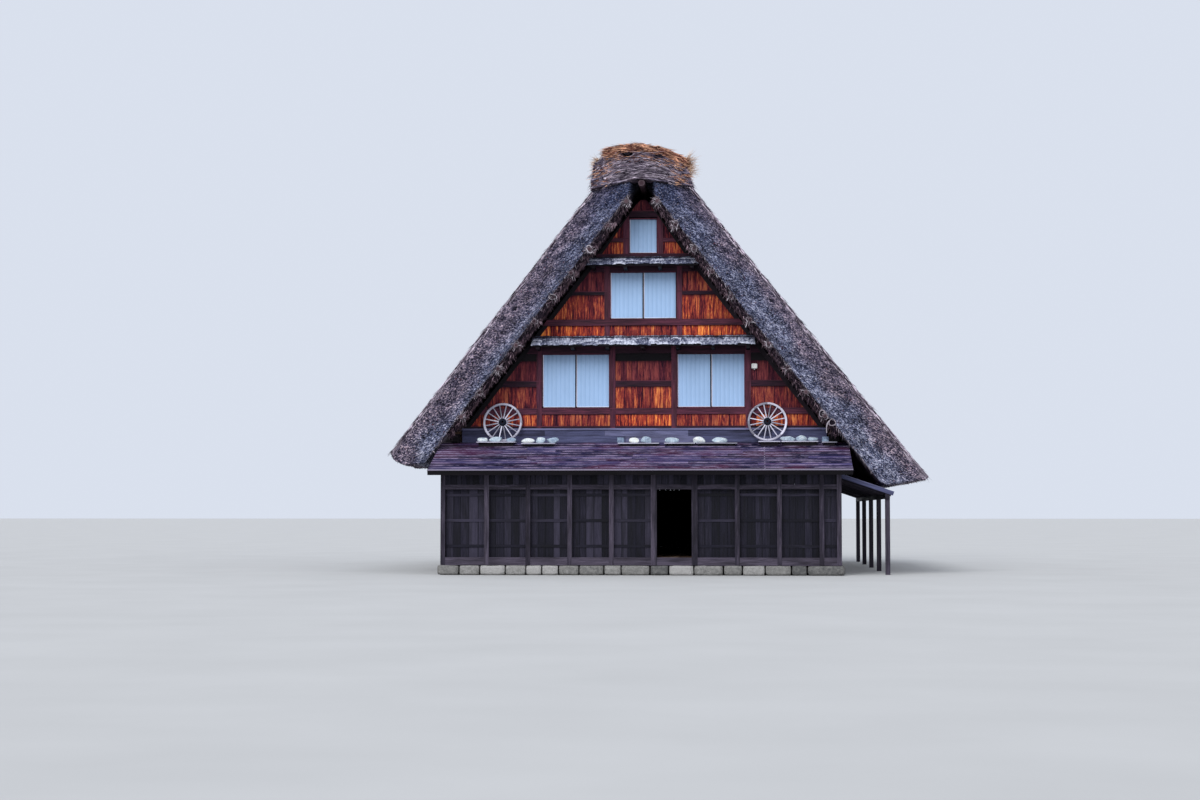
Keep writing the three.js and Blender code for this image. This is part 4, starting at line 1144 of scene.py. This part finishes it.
def gable_timbers(timbers, storey, face):
    """The posts of a storey and its rails, each rail with a pale strip on its upper arris as a painted
    highlight.
    """
    rng, (z0, z1), rails = timbers.rng, STOREYS[storey], RAILS[storey]
    wide = run_at(z0, WALL_INSET)
    for x in POSTS[storey]:
        post(timbers, x, (z0, z1), face, WALL, POST, cut=True, tint=rng.uniform(0.6, 1.0))
    for low, high in rails:
        for left, right in wall_runs(-wide, wide, low, high, storey):
            middle = (left + right) / 2
            proud = 0.03 * any(abs(high - z[0]) < 0.01 and x[0] <= middle <= x[1] for x, z in holes(storey))
            # painted shade: the top rail is darkest, under the eave; rails under windows and the second rail
            # are lighter
            tint = 0.1 if high == z1 else rng.uniform(-0.5, 0) + 0.9 * (low == rails[1][0]) + 10 * proud
            front = face - proud
            rail(timbers, (left, right), (low, high), front + 0.006, WALL - 0.012 + proud, cut=True, tint=tint)
            if high != z1:
                # the pale strip on the upper arris is a painted highlight
                tint = rng.uniform(0.75, 1.0)
                rail(timbers, (left, right), (high - 0.016, high), front - 0.002, 0.03, cut=True, tint=tint)


def slope_board(pile, side, *heights):
    """A near-black board along the roof's slope, painted shade under the thatch, narrower towards its peak."""
    corners = []
    for z in heights:
        width = 0.11 * min(1, (9.85 - z) / 1.2)
        inner, outer = side * run_at(z, WALL_INSET + width), side * run_at(z, WALL_INSET)
        outline = ((inner, -0.008), (outer, -0.008), (outer, 0.025), (inner, 0.025))
        corners += [(x, y - GABLE_Y, z) for x, y in outline]
    hexa(pile, corners, 2)


def gable_storey(end, storey):
    name = f"{end}_gable_{storey}"
    _, skin, timbers, painted_shade = begin(name, 3)
    z0, z1 = STOREYS[storey]
    gable_boards(skin, painted_shade, storey, -GABLE_Y)
    gable_timbers(timbers, storey, -GABLE_Y)
    for side in (-1, 1):
        slope_board(painted_shade, side, z0, min(z1, 9.8))
    piece(name, skin, CEDAR, [name], side=end)
    piece(f"{name}_timbers", timbers, TIMBER, side=end)
    piece(f"{name}_trim", painted_shade, SHADE_WOOD, side=end)


def window(end, place):
    _, x, z, panels = WINDOWS[place]
    name = f"{end}_window_{place}"
    _, sheets, bars, frames, backing = begin(name, 4)
    face = -GABLE_Y + BOARD_RECESS
    edges = np.linspace(x[0] + BAR, x[1] - BAR, panels + 1)
    for left, right in zip(edges, edges[1:]):
        left, right = left + 0.016 * (left > edges[0]), right - 0.024 * (right < edges[-1])
        ribs = np.linspace(0, 1, round((right - left) / RIB) * 8 + 1)
        params, quads = box_grid(ribs, [0, 1], [0, 0.01, 0.5, 0.99, 1])
        u, v, w = params.T
        wave = 0.005 * np.cos(TURN * u * (right - left) / RIB)
        height = z[0] + BAR + w * (z[1] - z[0] - 2 * BAR)
        points = columns(left + u * (right - left), face + 0.022 + wave + 0.012 * v, height)
        # zone paints shade into the hollows of the ribs
        sheets.add(points, quads, zone=0.5 - wave / 0.01, rise=w)
        rim = (face + 0.01, face + 0.03)
        slab(bars, (left, left + 0.014), rim, (z[0] + BAR, z[1] - BAR), 2, 0.9)
        slab(bars, (left, right), rim, (z[0] + BAR, z[0] + 0.044), 0, 0.9)
    for a in (x[0], x[1] - BAR):
        slab(frames, (a, a + BAR), (face - 0.01, face + 0.05), z, 2)
    for b in (z[0], z[1] - BAR):
        slab(frames, x, (face - 0.01, face + 0.05), (b, b + BAR), 0)
    # the backing is near-black as painted shade in the gaps of the frame
    slab(backing, x, (face + 0.04, face + 0.05), z, 0)
    piece(name, sheets, SHEET, [name], smooth=True, side=end)
    piece(f"{name}_panels", bars, GREY, side=end)
    piece(f"{name}_frame", frames, TIMBER, side=end)
    piece(f"{name}_backing", backing, SHADE_WOOD, side=end)


EAVES = {  # half width, height at the wall, depth, places of the bracket arms, paleness
    "lower_eave": (2.9, 6.22, 0.55, [0.92 * i for i in range(-3, 4)], 0.85),
    "upper_eave": (1.46, 8.32, 0.5, [-1.3, -0.455, 0.455, 1.3], 0.6),
}


def bark_sheet(pile, left, width, layer, top, reach, pale):
    """One curled sheet of bark with a ragged lower edge."""
    rng = pile.rng
    lift = 0.018 * layer + rng.uniform(0, 0.008)
    length = reach + rng.uniform(-0.03, 0.05) - layer * rng.uniform(0.06, 0.36)
    cuts = np.linspace(0, 1, 9)
    params, quads = box_grid(cuts, cuts, [0, 1])
    across, down, up = params.T
    u = left - 0.03 + across * (width + 0.05)
    seed = int(rng.integers(9999))
    v = down * (length + 0.035 * noise(columns(u, 0, left), 0.05, seed))
    curl = 0.012 * np.sin(math.pi * across) + 0.01 * noise(columns(u, v, 0), 0.12, seed + 1)
    w = lift + curl + 0.014 * up - 0.006
    grain = columns(u, v, w) + pile.shift()
    tint, zone = pale * rng.random(), rng.uniform(0.2, 1)
    pile.add(columns(u, -GABLE_Y - v, top - BARK_SLOPE * v + w), quads, grain, tint=tint, edge=down, zone=zone)


def bark_eave(end, name, half, top, reach, arms, pale):
    """Overlapping sheets of bark on a board, held by a pole, over bracket arms."""
    node = f"{end}_{name}"
    rng, pile, timbers = begin(node, 2)
    left = -half
    while left < half - 0.05:
        width = min(rng.uniform(0.22, 0.4), half - left + 0.03)
        for layer in range(2):
            bark_sheet(pile, left, width, layer, top, reach, pale)
        left += width
    y, z = -GABLE_Y - 0.25 * reach, top - BARK_SLOPE * 0.25 * reach + 0.05
    log(timbers, (-half, y, z), (half, y, z), 0.012, rings=18, sides=6, wander=0.008)
    under = [(x, -GABLE_Y - v, top - BARK_SLOPE * v - drop)
             for x, v, drop in box_corners((-half, half), (0, reach - 0.03), (0.05, 0.02))]
    hexa(timbers, under, 0, 0.2)
    tip, fall = -GABLE_Y - reach + 0.06, BARK_SLOPE * (reach - 0.06)
    foot = -BARK_SLOPE * reach - 0.12
    outline = [(-GABLE_Y, -0.05), (tip, -fall - 0.05), (tip, -fall - 0.12), (-GABLE_Y, foot)]
    for x in arms:
        hexa(timbers, [(x + side, y, top + rise) for side in (-0.045, 0.045) for y, rise in outline], 1)
    piece(node, pile, BARK, [node], smooth=True, side=end)
    # the board, pole and bracket arms are near-black as painted shade under the eave
    piece(f"{node}_timbers", timbers, SHADE_WOOD, side=end)


# Lean-to roofs

def lean(origin, along, out, slope):
    """A function that gives places on a lean-to roof: so far along it, down it, and up from its boarding."""
    along = np.array(along)
    down = np.array([*out, -slope]) / math.hypot(1, slope)
    up = np.cross(along, down)
    up *= np.sign(up[2])
    return lambda far, run, height=0.0: origin + along * far + down * run + up * height


def panel(pile, place, far, run, height, along, **looks):
    """A flat board on a lean-to roof, from its spans along the roof, down it and up."""
    hexa(pile, [place(*corner) for corner in box_corners(far, run, height)], along, **looks)


def sloping(pile, place, stops, height, start, stop, section):
    """Timbers that run down a lean-to roof at the given stops."""
    for far in stops:
        sweep(pile, [place(far, start, height), place(far, stop, height)], section)


def stretches(rng, half, shortest, longest, least):
    """Parts of random length from -half to half, of which the last is no shorter than the least."""
    start = -half
    while start < half - 0.01:
        stop = start + rng.uniform(shortest, longest)
        stop = half if half - stop < least else stop
        yield start, stop
        start = stop


def coursed_roof(pile, place, half, length, rows):
    """Planks in lapped courses on a lean-to roof."""
    rng = pile.rng
    for row in range(rows):
        near, far = row * length / rows, min((row + 1) * length / rows + 0.03, length)
        for start, stop in stretches(rng, half, 1.4, 3.4, 0.9):
            thick = rng.uniform(0.014, 0.02)
            low, high = 0.012 + thick, 0.03 + thick + rng.uniform(-0.002, 0.004)
            skew = rng.uniform(-0.004, 0.004)
            outline = ((start + GAP, near, low), (stop - GAP, near, low),
                       (stop - GAP, far + skew, high), (start + GAP, far - skew, high))
            corners = [place(at, run, lift - drop) for drop in (thick, 0) for at, run, lift in outline]
            grain = box_corners((start, stop), (near, far), (0, 0.02))[:, (1, 0, 2)]
            hexa(pile, corners, 0, grain=grain, edge=[0, 0, 1, 1] * 2)


def front_leanto(end):
    name = f"{end}_leanto_roof"
    _, pile, timbers, painted_shade = begin(name, 3)
    length = LEANTO_RUN * math.hypot(1, LEANTO_SLOPE)
    whole = (-LEANTO_X, LEANTO_X)
    place = lean((0, -GABLE_Y, LEANTO_Z - BOARDING), (1, 0, 0), (0, -1), LEANTO_SLOPE)
    coursed_roof(pile, place, LEANTO_X, length, LEANTO_COURSES)
    panel(pile, place, whole, (length - 0.01, length + 0.025), (0.032, 0.06), 0, zone=0.37)
    # painted shade: the fascia under the roof's edge is near-black
    panel(painted_shade, place, whole, (length - 0.01, length + 0.01), (-0.09, 0.03), 0)
    for row in range(LEANTO_COURSES):  # a column of bright nail heads, and dull ones over the rafters
        for x, radius, zone in ((NAIL_X, 0.011, 2.0), *((x, 0.006, 0.2) for x in GROUND_POSTS[1::2])):
            run = length * (row + 0.55) / LEANTO_COURSES
            sweep(pile, [place(x, run, 0.034), place(x, run, 0.046)], circle(radius, 6), (1, 0, 0), zone=zone)
    # painted shade: the boarding under the planks is near-black
    panel(painted_shade, place, whole, (0, length - 0.01), (-0.025, 0.008), 0)
    sloping(timbers, place, GROUND_POSTS, -0.06, 0, length - 0.05, chamfered(0.07, 0.08))
    sloping(timbers, place, (-LEANTO_X + 0.02, LEANTO_X - 0.02), 0, 0.34, length - 0.02, chamfered(0.04, 0.07))
    piece(name, pile, PLANK, [name], side=end)
    piece(f"{name}_timbers", timbers, GROUND_TIMBER, side=end)
    piece(f"{name}_underside", painted_shade, SHADE_WOOD, side=end)


def side_leanto():
    _, pile, timbers, verges = begin("right_leanto_roof", 3)
    half = SIDE_HALF
    length = (SIDE_OUTER - SIDE_INNER) * math.hypot(1, SIDE_SLOPE)
    place = lean((SIDE_INNER, 0, SIDE_TOP - BOARDING), (0, 1, 0), (1, 0), SIDE_SLOPE)
    coursed_roof(pile, place, half, length, 6)
    panel(timbers, place, (-half, half), (0, length - 0.01), (-0.025, 0.008), 1, tint=0.2)
    sloping(verges, place, (-half - 0.012, half + 0.012), 0.005, 0, length, chamfered(0.03, 0.11))
    plate_top = SIDE_TOP - SIDE_SLOPE * (SIDE_PLATE[1] - SIDE_INNER) - 0.03
    slab(timbers, SIDE_PLATE, (-half, half), (plate_top - 0.16, plate_top), 1)
    for y in np.linspace(-half + 0.1, half - 0.1, 5):
        slab(timbers, SIDE_PLATE, (y - 0.06, y + 0.06), (0, plate_top - 0.08), 2)
    rafters = np.arange(-half + 0.1, half, 0.7)
    sloping(timbers, place, rafters, -0.055, 0, length - 0.04, chamfered(0.06, 0.06))
    piece("right_leanto_roof", pile, PLANK, ["right_leanto_roof"])
    piece("right_leanto_timbers", timbers, GROUND_TIMBER)
    piece("right_leanto_verges", verges, SILL)


SILL_HALF = 4.81
SILL_COURSES = ((3.4, 3.6), (3.603, 3.76))
SILL_CAP = (3.762, 3.81)
PLATE_END_X = 5.0


def gable_sill(end):
    """The planked band over a front lean-to roof, and the plate ends beside it, near-black as painted shade."""
    name = f"{end}_gable_sill"
    rng, pile, ends = begin(name, 2)
    half, face = SILL_HALF, -GABLE_Y
    for z in SILL_COURSES:
        for start, stop in stretches(rng, half, 1.5, 2.4, 0.6):
            front = face - 0.004 + rng.uniform(-0.003, 0.003)
            slab(pile, (start + GAP, stop - GAP), (front, front + 0.06), z, 0)
    slab(pile, (-half, half), (face - 0.03, face + 0.1), SILL_CAP, 0, 0.9)
    slab(pile, (-half, half), (face + 0.06, face + 0.12), (3.38, 3.8), 0)
    piece(name, pile, SILL, [name], side=end)
    for x in (-PLATE_END_X, PLATE_END_X):
        slab(ends, (x - 0.13, x + 0.13), (face - 0.1, face + 0.3), (3.455, 3.66), 1)
    piece(f"{end}_plate_ends", ends, SHADE_WOOD, side=end)


# Ground storey

BATTENS = (0.7, 1.35, 2.0)  # heights of the battens on the shutters
DOOR_BATTENS = (0.55, 1.2, 2.0)
FLOOR_BOARDS = 42
JOIST_STEP = 1.5


def shutter(pile, span, front, top, backing_top, proud, lap=0.0):
    """Boards between two posts on a thin backing, held by three battens."""
    boards(pile, (span[0] - lap, span[1] + lap), (FLOOR_Z, top), front, width=0.2)
    slab(pile, span, (front + 0.03, front + 0.045), (FLOOR_Z + 0.01, backing_top), 0)
    for z in BATTENS:
        slab(pile, span, (front - proud, front + GAP), (z, z + 0.07), 0)


def doorway_leaf(timbers, leaf, top, face):
    """The narrow posts beside the doorway, and its leaf slid open behind the shutters."""
    left, right = DOORWAY
    for x in (left + 0.015, right - 0.015):
        post(timbers, x, (FOOTING_TOP, top), face + 0.002, WALL - 0.004, width=0.03)
    span, back = (right, right + 1.0), face + WALL
    boards(leaf, span, (FLOOR_Z, DOOR_TOP + 0.06), back + 0.045, width=0.25, thickness=0.03)
    for z in DOOR_BATTENS:
        slab(leaf, span, (back + 0.03, back + 0.046), (z, z + 0.08), 0)
    piece("entrance_door", leaf, FLOOR, ["entrance_door"])


def ground_end(end):
    """The posts, beams and boards of one end of the ground storey."""
    nodes = ["front_wall_left", "front_wall_right", "front_door_frame"] if end == "front" else ["back_wall"]
    _, timbers, skin, leaf = begin(f"{end}_ground", 3)
    half, face = SIDE_X - WALL, -FRONT_Y
    top = LEANTO_Z - LEANTO_SLOPE * (FRONT_Y - GABLE_Y) - 0.15
    for z_span in ((FOOTING_TOP, FLOOR_Z), (DOOR_TOP, DOOR_TOP + WALL), (top - WALL, top)):
        rail(timbers, (-half, half), z_span, face + 0.004, WALL - 0.008)
    for x in GROUND_POSTS:
        post(timbers, x, (FOOTING_TOP, top), face, WALL)
    corner = half + WALL / 2
    for x in (-corner, corner):
        post(timbers, x, (FOOTING_TOP, top), face - 0.004, WALL)
    stops = sorted([-corner, *GROUND_POSTS, corner])
    for left, right in zip(stops, stops[1:]):
        span = (left + WALL / 2, right - WALL / 2)
        if span[1] - span[0] < 0.05:
            continue
        boards(skin, span, (DOOR_TOP + WALL, top - WALL), face + 0.03)
        if end == "back" or not span[0] < sum(DOORWAY) / 2 < span[1]:
            shutter(skin, span, face + WALL, DOOR_TOP + 0.03, DOOR_TOP + 0.02, 0.018, lap=0.02)
    if end == "front":
        doorway_leaf(timbers, leaf, top, face)
    shutters = [f"{end}_shutters_left", f"{end}_shutters_right"]
    piece(f"{end}_ground_timbers", timbers, GROUND_TIMBER, nodes, side=end)
    piece(f"{end}_ground_boards", skin, SHUTTER, shutters, side=end)


def side_top(y):
    """Height of the side wall: its plate, or the front lean-to roof beyond the gables."""
    return PLATE_Z if abs(y) <= GABLE_Y else LEANTO_Z - LEANTO_SLOPE * (abs(y) - GABLE_Y) - 0.07


def ground_side(side):
    """A side wall: nine posts, sill, lintel and plate, boards, and shutters in the two middle bays."""
    _, timbers, skin = begin(f"{side}_ground", 2)
    face = -SIDE_X
    stops = np.linspace(-FRONT_Y + WALL / 2, FRONT_Y - WALL / 2, 9)
    for z_span in ((FOOTING_TOP, FLOOR_Z), (DOOR_TOP, DOOR_TOP + WALL)):
        rail(timbers, (-FRONT_Y, FRONT_Y), z_span, face + 0.004, WALL - 0.008)
    rail(timbers, (-GABLE_Y, GABLE_Y), (PLATE_Z - 0.2, PLATE_Z), face + 0.002, WALL - 0.004)
    for y in stops:
        post(timbers, y, (FOOTING_TOP, side_top(y + math.copysign(WALL / 2, y))), face, WALL)
    for low, high in zip(stops, stops[1:]):
        span = (low + WALL / 2, high - WALL / 2)
        middle = sum(span) / 2
        for a, b in ((span[0], middle), (middle, span[1])):
            top = side_top(max(abs(a), abs(b))) - (0.2 if abs(middle) < 5 else 0)
            boards(skin, (a, b), (DOOR_TOP + WALL, top), face + 0.03)
        shuttered = abs(middle) < 2
        front = face + (WALL if shuttered else 0.03)
        shutter(skin, span, front, DOOR_TOP + 0.03 * shuttered, DOOR_TOP - 0.01, 0.016)
    piece(f"{side}_wall_timbers", timbers, GROUND_TIMBER, [f"{side}_wall"], side=side)
    piece(f"{side}_wall_boards", skin, SHUTTER, [f"{side}_shutters"], side=side)


WALL_REVEAL = 0.09  # the footing's stones stand out this far on both sides of the wall


def footing(side, half, outer, inner):
    """Rough stones set end to end under a wall."""
    rng, pile = begin(f"{side}_footing")
    for start, stop in stretches(rng, half, 0.38, 0.75, 0.3):
        params, quads = box_grid(np.linspace(0, 1, 7), np.linspace(0, 1, 5), np.linspace(0, 1, 5))
        centred = params * 2 - 1
        bulge = 1 - 0.1 * (centred[:, [1, 2, 0]] ** 4 + centred[:, [2, 0, 1]] ** 4) / 2
        u, v, w = (centred * bulge + 1).T / 2
        along = start + 0.004 + u * (stop - start - 0.008)
        points = columns(along, v * (outer - inner) - outer, w * FOOTING_TOP)
        push = 0.012 * noise(points, 0.16, int(rng.integers(999))) - 0.008
        points += normals(points, quads) * push[:, None]
        points[:, 2] = np.clip(points[:, 2], 0, FOOTING_TOP)
        pile.add(points, quads)
    piece(f"{side}_footing", pile, FOOTING, [f"{side}_footing"], smooth=True, side=side)


def ground_floor():
    """Floorboards with staggered joints, on joists."""
    rng, pile = begin("ground_floor")
    x_edges = np.linspace(-SIDE_X + WALL, SIDE_X - WALL, FLOOR_BOARDS + 1)
    joists = np.arange(-5, 6) * JOIST_STEP
    end, seam = FRONT_Y - WALL, GAP / 2
    for left, right in zip(x_edges, x_edges[1:]):
        cuts = [-end, *np.sort(rng.choice(joists, 2, replace=False)), end]
        for a, b in zip(cuts, cuts[1:]):
            z_span = (FLOOR_Z - 0.035, FLOOR_Z - rng.uniform(0, 0.002))
            slab(pile, (left + seam, right - seam), (a + seam, b - seam), z_span, 1)
    for y in joists:
        slab(pile, (x_edges[0], x_edges[-1]), (y - 0.07, y + 0.07), (FOOTING_TOP, FLOOR_Z - 0.036), 0)
    piece("ground_floor", pile, FLOOR, ["ground_floor"])


# Things on the front lean-to roof

STONES = [  # middle, width and height of each stone
    (-4.22, 0.30, 0.14), (-3.86, 0.36, 0.16), (-3.46, 0.28, 0.13), (-3.01, 0.33, 0.16), (-2.69, 0.25, 0.19),
    (-2.38, 0.36, 0.18), (-0.58, 0.18, 0.17), (-0.24, 0.27, 0.17), (0.10, 0.29, 0.2), (0.76, 0.38, 0.18),
    (1.46, 0.34, 0.2), (2.01, 0.44, 0.17), (3.79, 0.40, 0.15), (4.15, 0.33, 0.18), (4.45, 0.28, 0.14),
    (4.76, 0.19, 0.16),
]
SQUARED = (-0.58, 4.76)  # the middles of the two squared blocks
STONE_BOARDS = [  # left, right and top of each board
    (-4.37, -3.35, 3.45), (-3.19, -2.3, 3.41), (-0.65, 0.43, 3.41), (0.56, 1.37, 3.41), (1.4, 2.47, 3.41),
    (3.02, 3.59, 3.45), (3.62, 4.57, 3.45), (4.67, 5.06, 3.43),
]
SHELF_Y = (-6.45, -6.03)
PACKING_Y = (-6.1, -6.36)
STONE_Y = -6.33


def broken(rng, shape):
    """Cuts five flat faces off a ball of points."""
    for _ in range(5):
        flat = unit(rng.normal(0, 1, 3))
        shape -= np.maximum(shape @ flat - rng.uniform(0.6, 0.85), 0)[:, None] * flat


def stone(pile, x, width, height):
    rng, squared = pile.rng, x in SQUARED
    cut = np.linspace(-1, 1, 9)
    params, quads = box_grid(cut, cut, cut)
    roundness = 0.25 if squared else 1.0
    peak = np.abs(params).max(axis=1, keepdims=True)
    shape = params * (1 - roundness + roundness * peak / np.linalg.norm(params, axis=1, keepdims=True))
    turn = 0 if squared else rng.uniform(-0.3, 0.3)
    lumps = (0.05 if squared else 0.2) * noise(shape + 3 * x, 0.9, 17) + 0.03 * noise(shape + x, 0.4, 18)
    shape *= 1 + lumps[:, None]
    if not squared:
        broken(rng, shape)
    a, b, c = shape.T
    up = np.maximum(a * math.sin(turn) + c * math.cos(turn), -0.72)
    shape = columns(a * math.cos(turn) - c * math.sin(turn), b, up)
    top = next((top for left, right, top in STONE_BOARDS if left <= x <= right), 3.42)
    points = shape * (width / 2, 0.07 if squared else 0.085, height / 2) + (x, STONE_Y, top + height * 0.34)
    # painted shade: stones beyond 3.6 m are darker, under the verge; the squared blocks are dark stone
    pile.add(points, quads, tint=rng.uniform(0.35, 1) * (0.15 if squared else 0.62 if x > 3.6 else 1))


def stones():
    rng, pile, planks, packing = begin("stones", 3)
    for row in STONES:
        stone(pile, *row)
    piece("roof_stones", pile, PEBBLE, smooth=True)
    for left, right, top in STONE_BOARDS:
        slab(planks, (left, right), SHELF_Y, (top - 0.026, top), 0, rng.uniform(0.15, 0.6))
        for y in PACKING_Y:  # packing pieces between the roof and the board
            roof = LEANTO_Z + LEANTO_SLOPE * (y + GABLE_Y)
            slab(packing, (left + 0.06, right - 0.06), (y - 0.03, y + 0.03), (roof - 0.03, top - 0.03), 0)
    piece("stone_boards", planks, GREY, ["wheel_board_left", "wheel_board_right"])
    # the packing under the boards is near-black as painted shade
    piece("stone_board_packing", packing, SHADE_WOOD)


WHEEL_TILT = math.radians(9)  # they lean back on the gable
SPOKES = 16
FELLOES = 8
RIM_RADIUS, RIM_DEPTH = 0.49, 0.056  # to the middle of the rim, and its thickness
HUB_BANDS = (-0.058, 0.058)
HUB = [(0.03, -0.08), (0.062, -0.08), (0.07, -0.07), (0.072, -0.045), (0.1, -0.03), (0.108, 0),
       (0.1, 0.03), (0.072, 0.045), (0.07, 0.07), (0.062, 0.08), (0.03, 0.08)]  # radius and place on the axle


def leaned(path, centre):
    """Points of a wheel drawn about the Y axis, leaned back and set at its centre."""
    x, y, z = np.asarray(path, float).T
    c, s = math.cos(-WHEEL_TILT), math.sin(-WHEEL_TILT)
    return columns(x, c * y - s * z, s * y + c * z) + centre


AXLE = leaned(ALONG_Y, 0)


def lathe(pile, profile, centre, segments=28):
    """A closed ring of the given (radius, along the axle) outline."""
    radius, along = np.asarray(profile, float).T
    angle = np.arange(segments)[:, None] * TURN / segments
    points = (ring(angle, radius) + columns(0, along, 0)).reshape(-1, 3)
    index = np.arange(len(points)).reshape(segments, -1)
    after, beside = np.roll(index, -1, axis=0), np.roll(index, -1, axis=1)
    quads = np.stack([index, after, np.roll(after, -1, axis=1), beside], axis=-1).reshape(-1, 4)
    pile.add(leaned(points, centre), quads, points + pile.shift())


def cart_wheel(name):
    _, rim, hub = begin(name, 2)
    centre = np.mean(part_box(name), axis=0) - (RIDGE_X, 0, 0)
    for index in range(FELLOES):  # with narrow joints between them
        angle = np.linspace(index + 0.006, index + 0.994, 9) * TURN / FELLOES
        felloe = leaned(ring(angle, RIM_RADIUS), centre)
        sweep(rim, felloe, chamfered(RIM_DEPTH, RIM_DEPTH, 0.012), AXLE)
    reach = np.array([0.085, 0.15, 0.3, 0.47])
    for index in range(SPOKES):
        path = ring((index + 0.5) * TURN / SPOKES, reach)
        sweep(rim, leaned(path, centre), circle(0.017, 8, 1.15), AXLE, [1.15, 1.1, 0.9, 0.85])
    lathe(hub, HUB, centre)
    for along in HUB_BANDS:
        low, high = along - 0.012, along + 0.012
        lathe(hub, [(0.068, low), (0.076, low), (0.076, high), (0.068, high)], centre)
    piece(name, rim, GREY, [name])
    piece(f"{name}_hub", hub, IRON)


def wall_box():
    """A small white box with a lid that laps its sides, and a short pipe under it."""
    _, pile = begin("wall_box")
    low, high = np.array(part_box("wall_box")) - (RIDGE_X, 0, 0)
    x, y, z = (low + high) / 2
    width, _, height = high - low
    sweep(pile, [(x, high[1], z), (x, low[1] + 0.025, z)], chamfered(width - 0.016, height - 0.016, 0.012))
    lid = [(x, low[1] + depth, z) for depth in (0.03, 0.006, 0.0)]
    sweep(pile, lid, chamfered(width, height, 0.014), scale=[1, 1, 0.93])
    sweep(pile, [(x, y, low[2] + 0.01), (x, y, low[2] - 0.035)], circle(0.014, 10), (1, 0, 0))
    piece("wall_box", pile, CASE, ["wall_box"])


def keep_floors():
    """The floors inside keep their solids and get a boarded finish."""
    look = Look("upper_floor_boards")
    fibre = look.cloud((30, 1.2, 30), 4, 0.65)
    inputs = {"Vector": look.place((2.4, 0, 0)), "Scale": 0.5}
    lines = look.node("ShaderNodeTexWave", inputs, "Fac", wave_type="BANDS")
    colour = look.ramp(fibre, (0.3, (0.05, 0.03, 0.02)), (0.7, (0.16, 0.1, 0.07)))
    finish = look.done(look.shade(colour, lines, (0.0, 0.3), (0.04, 1.0)), 0.75, look.bump(fibre, 0.004))
    for name in ("second_floor", "third_floor", "fourth_floor"):
        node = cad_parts[name]
        node.data.materials.clear()
        node.data.materials.append(finish)


# The stage: a pale floor, soft light and the camera

EYE = (2.315, -61.0, 1.6)
LENS = 62.7
LOOK_UP = 3.07
LOOK_LEFT = 4.0
LAMPS = [("key", 2.2, 35, (50, 0, -25)), ("fill", 0.7, 60, (65, 0, 40))]  # strength, width and turn


def stage():
    scene = bpy.context.scene
    look = Look("pale_floor")
    colour = look.ramp(look.cloud(0.4, 3, 0.5), (0.3, (0.46, 0.46, 0.455)), (0.7, (0.49, 0.49, 0.485)))
    bpy.ops.mesh.primitive_plane_add(size=900, location=(0, 0, -0.001))
    ground = bpy.context.object
    ground.name = "ground_plane"
    ground.data.materials.append(look.done(colour, 0.9))

    scene.world = bpy.data.worlds.new("sky")
    scene.world.use_nodes = True
    background = scene.world.node_tree.nodes["Background"]
    background.inputs["Color"].default_value = (0.82, 0.88, 1.0, 1)
    background.inputs["Strength"].default_value = 0.85
    for name, energy, width, turn in LAMPS:
        light = bpy.data.lights.new(name, "SUN")
        light.energy = energy
        light.angle = math.radians(width)
        lamp = bpy.data.objects.new(name, light)
        lamp.rotation_euler = [math.radians(angle) for angle in turn]
        scene.collection.objects.link(lamp)

    view = bpy.data.cameras.new("camera")
    view.lens = LENS
    view.clip_end = 2000
    scene.camera = bpy.data.objects.new("camera", view)
    scene.camera.location = EYE
    scene.camera.rotation_euler = (math.radians(90 + LOOK_UP), 0, math.radians(LOOK_LEFT))
    scene.collection.objects.link(scene.camera)
    scene.view_settings.view_transform = "Standard"


stage()
for slope_side in (-1, 1):
    thatch(slope_side)
ridge_cap()
ridge_mat()
roof_frame(-1, "roof_frame_left")
roof_frame(1, "roof_frame_right")
ridge_beam()
for house_end in ("front", "back"):
    for level in STOREYS:
        gable_storey(house_end, level)
    for opening in WINDOWS:
        window(house_end, opening)
    for eave, sizes in EAVES.items():
        bark_eave(house_end, eave, *sizes)
    front_leanto(house_end)
    gable_sill(house_end)
    ground_end(house_end)
side_leanto()
for wall_side in ("left", "right"):
    ground_side(wall_side)
    footing(wall_side, FRONT_Y - WALL - WALL_REVEAL, SIDE_X + WALL_REVEAL, SIDE_X - WALL - WALL_REVEAL)
for house_end in ("front", "back"):
    footing(house_end, SIDE_X + WALL_REVEAL, FRONT_Y + WALL_REVEAL, FRONT_Y - WALL - WALL_REVEAL)
ground_floor()
keep_floors()
stones()
for wheel in ("cart_wheel_left", "cart_wheel_right"):
    cart_wheel(wheel)
wall_box()
